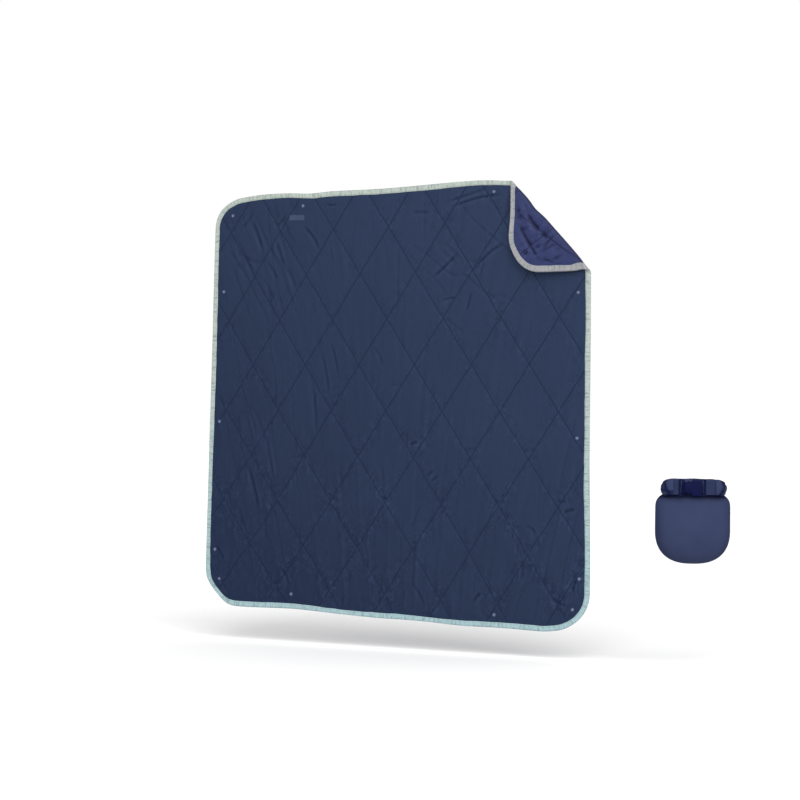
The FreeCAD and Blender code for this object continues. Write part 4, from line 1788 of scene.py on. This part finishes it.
@dataclass
class Studio:
    """The camera, a plain pale floor and soft light. Angles are in degrees."""

    camera_place: tuple[float, float, float] = (3.686, -6.821, -0.808)
    yaw: float = 28.18
    pitch: float = 0.69
    roll: float = 0.63
    lens: float = 103.5
    floor_gap: float = 0.105
    floor_half: float = 60.0
    sun_share: float = 0.83
    sun_angle: float = 50.0
    sun_direction: tuple[float, float, float] = (-0.52, 0.72, -0.64)
    box_place: tuple[float, float, float] = (2.2, -6.5, 0.6)
    box_target: tuple[float, float, float] = (0.5, 0.0, -0.8)
    box_size: float = 1.6
    box_power: float = 3.5
    box_spread: float = 40.0

    def camera(self) -> None:
        """Places the camera: forward is turned by the yaw to the left and lifted by the pitch."""
        yaw, pitch, roll = (math.radians(v) for v in (self.yaw, self.pitch, self.roll))
        level = Vector((math.cos(yaw), math.sin(yaw), 0.0))
        ahead = Vector((-math.sin(yaw), math.cos(yaw), 0.0))
        forward = ahead * math.cos(pitch) + Vector((0.0, 0.0, math.sin(pitch)))
        above = level.cross(forward)
        right = level * math.cos(roll) + above * math.sin(roll)
        up = -level * math.sin(roll) + above * math.cos(roll)
        data = bpy.data.cameras.new("camera")
        data.sensor_width = 36.0
        data.lens = self.lens
        data.clip_end = 200.0
        camera = bpy.data.objects.new("camera", data)
        turn = Matrix((right, up, -forward)).transposed().to_4x4()
        camera.matrix_world = Matrix.Translation(self.camera_place) @ turn
        bpy.context.scene.collection.objects.link(camera)
        bpy.context.scene.camera = camera

    def floor(self, bottom: float) -> None:
        """A broad plain floor a little below the hanging hem.

        Args:
            bottom: level of the lowest point of the hem.
        """
        material, _, _ = new_material(
            "matt_white_floor_paint",
            {"Base Color": linear_colour("#e1e1e1"), "Roughness": 0.9, "Specular IOR Level": 0.0},
        )
        span = np.linspace(-self.floor_half, self.floor_half, 3)
        u, v = np.meshgrid(span, span)
        points = np.stack([u, v, np.full_like(u, bottom - self.floor_gap)], axis=-1)
        floor = mesh_piece("floor", points, grid_quads(*u.shape), material)

    def light(self) -> None:
        """An even white surround, a broad soft sun from the upper right, and a small softbox.

        The sun's strength is a share of pi, at which it lights a white surface fully.
        """
        scene = bpy.context.scene
        scene.view_settings.view_transform = "Standard"
        world = bpy.data.worlds.new("white_surround")
        world.use_nodes = True
        surround = world.node_tree.nodes["Background"]
        surround.inputs["Color"].default_value = (1.0, 1.0, 1.0, 1.0)
        surround.inputs["Strength"].default_value = 1.0
        scene.world = world
        sun = bpy.data.lights.new("key_light", "SUN")
        sun.energy = self.sun_share * math.pi
        sun.angle = math.radians(self.sun_angle)
        self.hang(sun, (0.0, 0.0, 0.0), Vector(self.sun_direction))
        box = bpy.data.lights.new("front_light", "AREA")
        box.size = self.box_size
        box.energy = self.box_power
        box.spread = math.radians(self.box_spread)
        self.hang(box, self.box_place, Vector(self.box_target) - Vector(self.box_place))

    def hang(
        self, light: bpy.types.Light, place: tuple[float, float, float], direction: Vector
    ) -> None:
        """Puts a light at a place, shining along a direction.

        Args:
            light: the light.
            place: where it stands.
            direction: the way it shines.
        """
        lamp = bpy.data.objects.new(light.name, light)
        lamp.location = place
        lamp.rotation_euler = direction.to_track_quat("-Z", "Y").to_euler()
        bpy.context.scene.collection.objects.link(lamp)


# ---------------------------------------------------------------- assembly


def middle(node: str) -> Vector:
    """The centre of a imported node's box."""
    low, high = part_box(node)
    return (Vector(low) + Vector(high)) / 2


def joint(name: str) -> dict:
    """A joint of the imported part, by name."""
    return next(item for item in frame["joints"] if item["name"] == name)


def dress_blanket() -> None:
    """Builds the blanket's pieces and ties the label and the snaps to their bodies."""
    low, high = (Vector(v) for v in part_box("edge_binding"))
    hinge = Vector(joint("corner_fold")["pos_m"])
    form = QuiltForm(size=high.x - low.x, corner_radius=115 * MM, hinge=hinge)
    blanket = Blanket(form)
    lattice = {
        "height": form.size,
        "step_across": form.step_across,
        "step_down": form.step_down,
        "first_across": form.first_across,
        "first_down": form.first_down,
    }
    # The face's ridge colour is a painted highlight and its seam colour painted shade.
    face = QuiltedTaffeta(
        name="calendered_nylon_taffeta_navy",
        colour="#182238",
        pale_and_lit="#242f46",
        seam="#0f1930",
        ridge="#303f5a",
        roughness=0.8,
        specular=0.08,
        **lattice,
    ).build()
    # The reverse's pale ridge colour is a painted highlight that stands in for its silky sheen.
    reverse = QuiltedTaffeta(
        name="silky_nylon_taffeta_indigo",
        colour="#1c2246",
        pale_and_lit="#262d51",
        seam="#0b102e",
        ridge="#4f5784",
        roughness=0.5,
        specular=0.12,
        **lattice,
    ).build()
    tape = BindingTape(
        name="polyester_binding_tape_sage",
        top="#98a19b",
        bottom="#88a1a6",
        reverse="#858588",
        crease="#56605e",
        height=high.z - low.z,
    ).build()
    label = PlainCloth(
        "damask_woven_label_blue", "#26324a", "#2b3750", 0.8, 1.2 * MM, 0.15 * MM
    ).build()
    # The caps' pale colour stands partly as a painted highlight in their middles; the rim colours
    # of caps and sockets are painted shade.
    cap = MouldedAcetal(
        "acetal_snap_cap_navy", "#4c5a7c", "#566487", roughness=0.35, rim="#172038"
    ).build()
    socket = MouldedAcetal(
        "acetal_snap_socket_navy",
        "#2c3358",
        "#333a60",
        roughness=0.5,
        specular=0.12,
        rim="#080c28",
    ).build()

    names = sorted(n for n in frame["nodes"] if n.startswith("snap_cap_") and "flap" not in n)
    sockets = [n.replace("cap", "socket") for n in names]
    centres = [(middle(n).x, middle(n).z) for n in names]
    fold_snap = middle("snap_cap_flap_corner")
    fold_centre = [form.unfold(fold_snap.x, fold_snap.z)]

    quilt_face = blanket.sheet("quilt_face", Side.FACE, face)
    quilt_back = blanket.sheet("quilt_reverse", Side.REVERSE, reverse)
    binding = blanket.tape("binding_tape", tape)
    patch_piece = blanket.patch_label("label", *(Vector(v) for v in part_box("label_patch")), label)
    caps = blanket.buttons("snap_caps", centres, Side.FACE, cap)
    backs = blanket.buttons("snap_sockets", centres, Side.REVERSE, socket)
    fold_cap = blanket.buttons("snap_cap_on_fold", fold_centre, Side.FACE, cap)
    fold_back = blanket.buttons("snap_socket_on_fold", fold_centre, Side.REVERSE, socket)

    # The two bodies part in the thickness of the fold, between the panel and the corner.
    for piece in (quilt_face, quilt_back, binding):
        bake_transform(piece)
    for piece in (patch_piece, caps, backs):
        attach(piece, "blanket")
    for piece in (fold_cap, fold_back):
        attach(piece, "corner_flap")

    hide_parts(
        "face_fabric",
        "fill_batting",
        "flap_face_fabric",
        "flap_fill_batting",
        "fold_bend",
    )
    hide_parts("back_fabric", "flap_back_fabric")
    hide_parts("edge_binding", "flap_binding")
    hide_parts("label_patch")
    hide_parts(*names)
    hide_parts(*sockets)
    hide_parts("snap_cap_flap_corner")
    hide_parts("snap_socket_flap_corner")


def dress_sack() -> None:
    """Builds the sack's pieces and ties each but the roll's left end to its body."""
    pull = Vector(joint("plug_release")["axis"])
    low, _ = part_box("sack_body")
    centre = middle("sack_body")
    place = SackPlace(Vector((centre.x, centre.y, low[2])), math.atan2(-pull.y, -pull.x))
    sack = Sack(place)
    bag_cloth = PlainCloth(
        "ripstop_bag_nylon",
        "#282f49",
        "#2e354e",
        roughness=0.85,
        rib_width=2.0 * MM,
        rib_depth=0.12 * MM,
        sheen=0.0,
        specular=0.05,
    ).build()
    strap = PlainCloth(
        "nylon_webbing_navy",
        "#1d243e",
        "#242c46",
        roughness=0.8,
        rib_width=2.4 * MM,
        rib_depth=0.3 * MM,
        sheen=0.0,
        specular=0.08,
    ).build()
    acetal = MouldedAcetal("acetal_buckle_navy", "#080c2e", "#0b1134", specular=0.04).build()

    tip = sack.roll_reach + math.pi * sack.roll_bend
    hidden, tucked = 8 * MM, 4 * MM  # how far webbing runs into the buckle and behind the roll
    bag = sack.bag("stuffed_bag", bag_cloth)
    roll = sack.roll("rolled_neck", -sack.roll_reach, tip, bag_cloth)
    left_end = sack.roll("rolled_neck_left_end", -tip, -sack.roll_reach, bag_cloth)
    strap_right = sack.webbing(
        "webbing_right_strap", sack.buckle_right - hidden, sack.roll_reach + tucked, strap
    )
    strap_left = sack.webbing(
        "webbing_left_strap", -sack.roll_reach - tucked, sack.buckle_left + hidden, strap
    )
    socket = sack.socket("buckle_socket_shell", acetal)
    plug = sack.plug("buckle_plug_frame", acetal)
    upper = sack.arm("buckle_upper_arm", 1.0, acetal)
    lower = sack.arm("buckle_lower_arm", -1.0, acetal)

    behind = place(np.array(0.0), np.array(-16 * MM), np.array(0.0))
    ahead = place(np.array(0.0), np.array(-27 * MM), np.array(0.0))
    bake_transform(left_end)
    for piece, body, node, slot in (
        (bag, "stuff_sack", "sack_body", "sack_cloth"),
        (roll, "stuff_sack", "sack_roll", "sack_cloth"),
        (left_end, None, "roll_end_left", "sack_cloth"),
        (strap_right, "stuff_sack", "webbing_right", "webbing"),
        (strap_left, "buckle_plug", "webbing_left", "webbing"),
        (socket, "stuff_sack", "buckle_socket", "buckle_plastic"),
        (plug, "buckle_plug", "buckle_plug", "buckle_plastic"),
        (upper, "arm_upper", "buckle_arm_upper", "buckle_plastic"),
        (lower, "arm_lower", "buckle_arm_lower", "buckle_plastic"),
    ):
        if body is not None:
            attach(piece, body)
        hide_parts(node)


def main() -> None:
    """Builds the studio, the blanket and the sack."""
    logging.basicConfig(level=logging.INFO, format="%(name)s %(message)s")
    studio = Studio()
    studio.camera()
    low = Vector(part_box("edge_binding")[0])
    studio.floor(low.z)
    studio.light()
    dress_blanket()
    dress_sack()


if __name__ == "__main__":
    main()
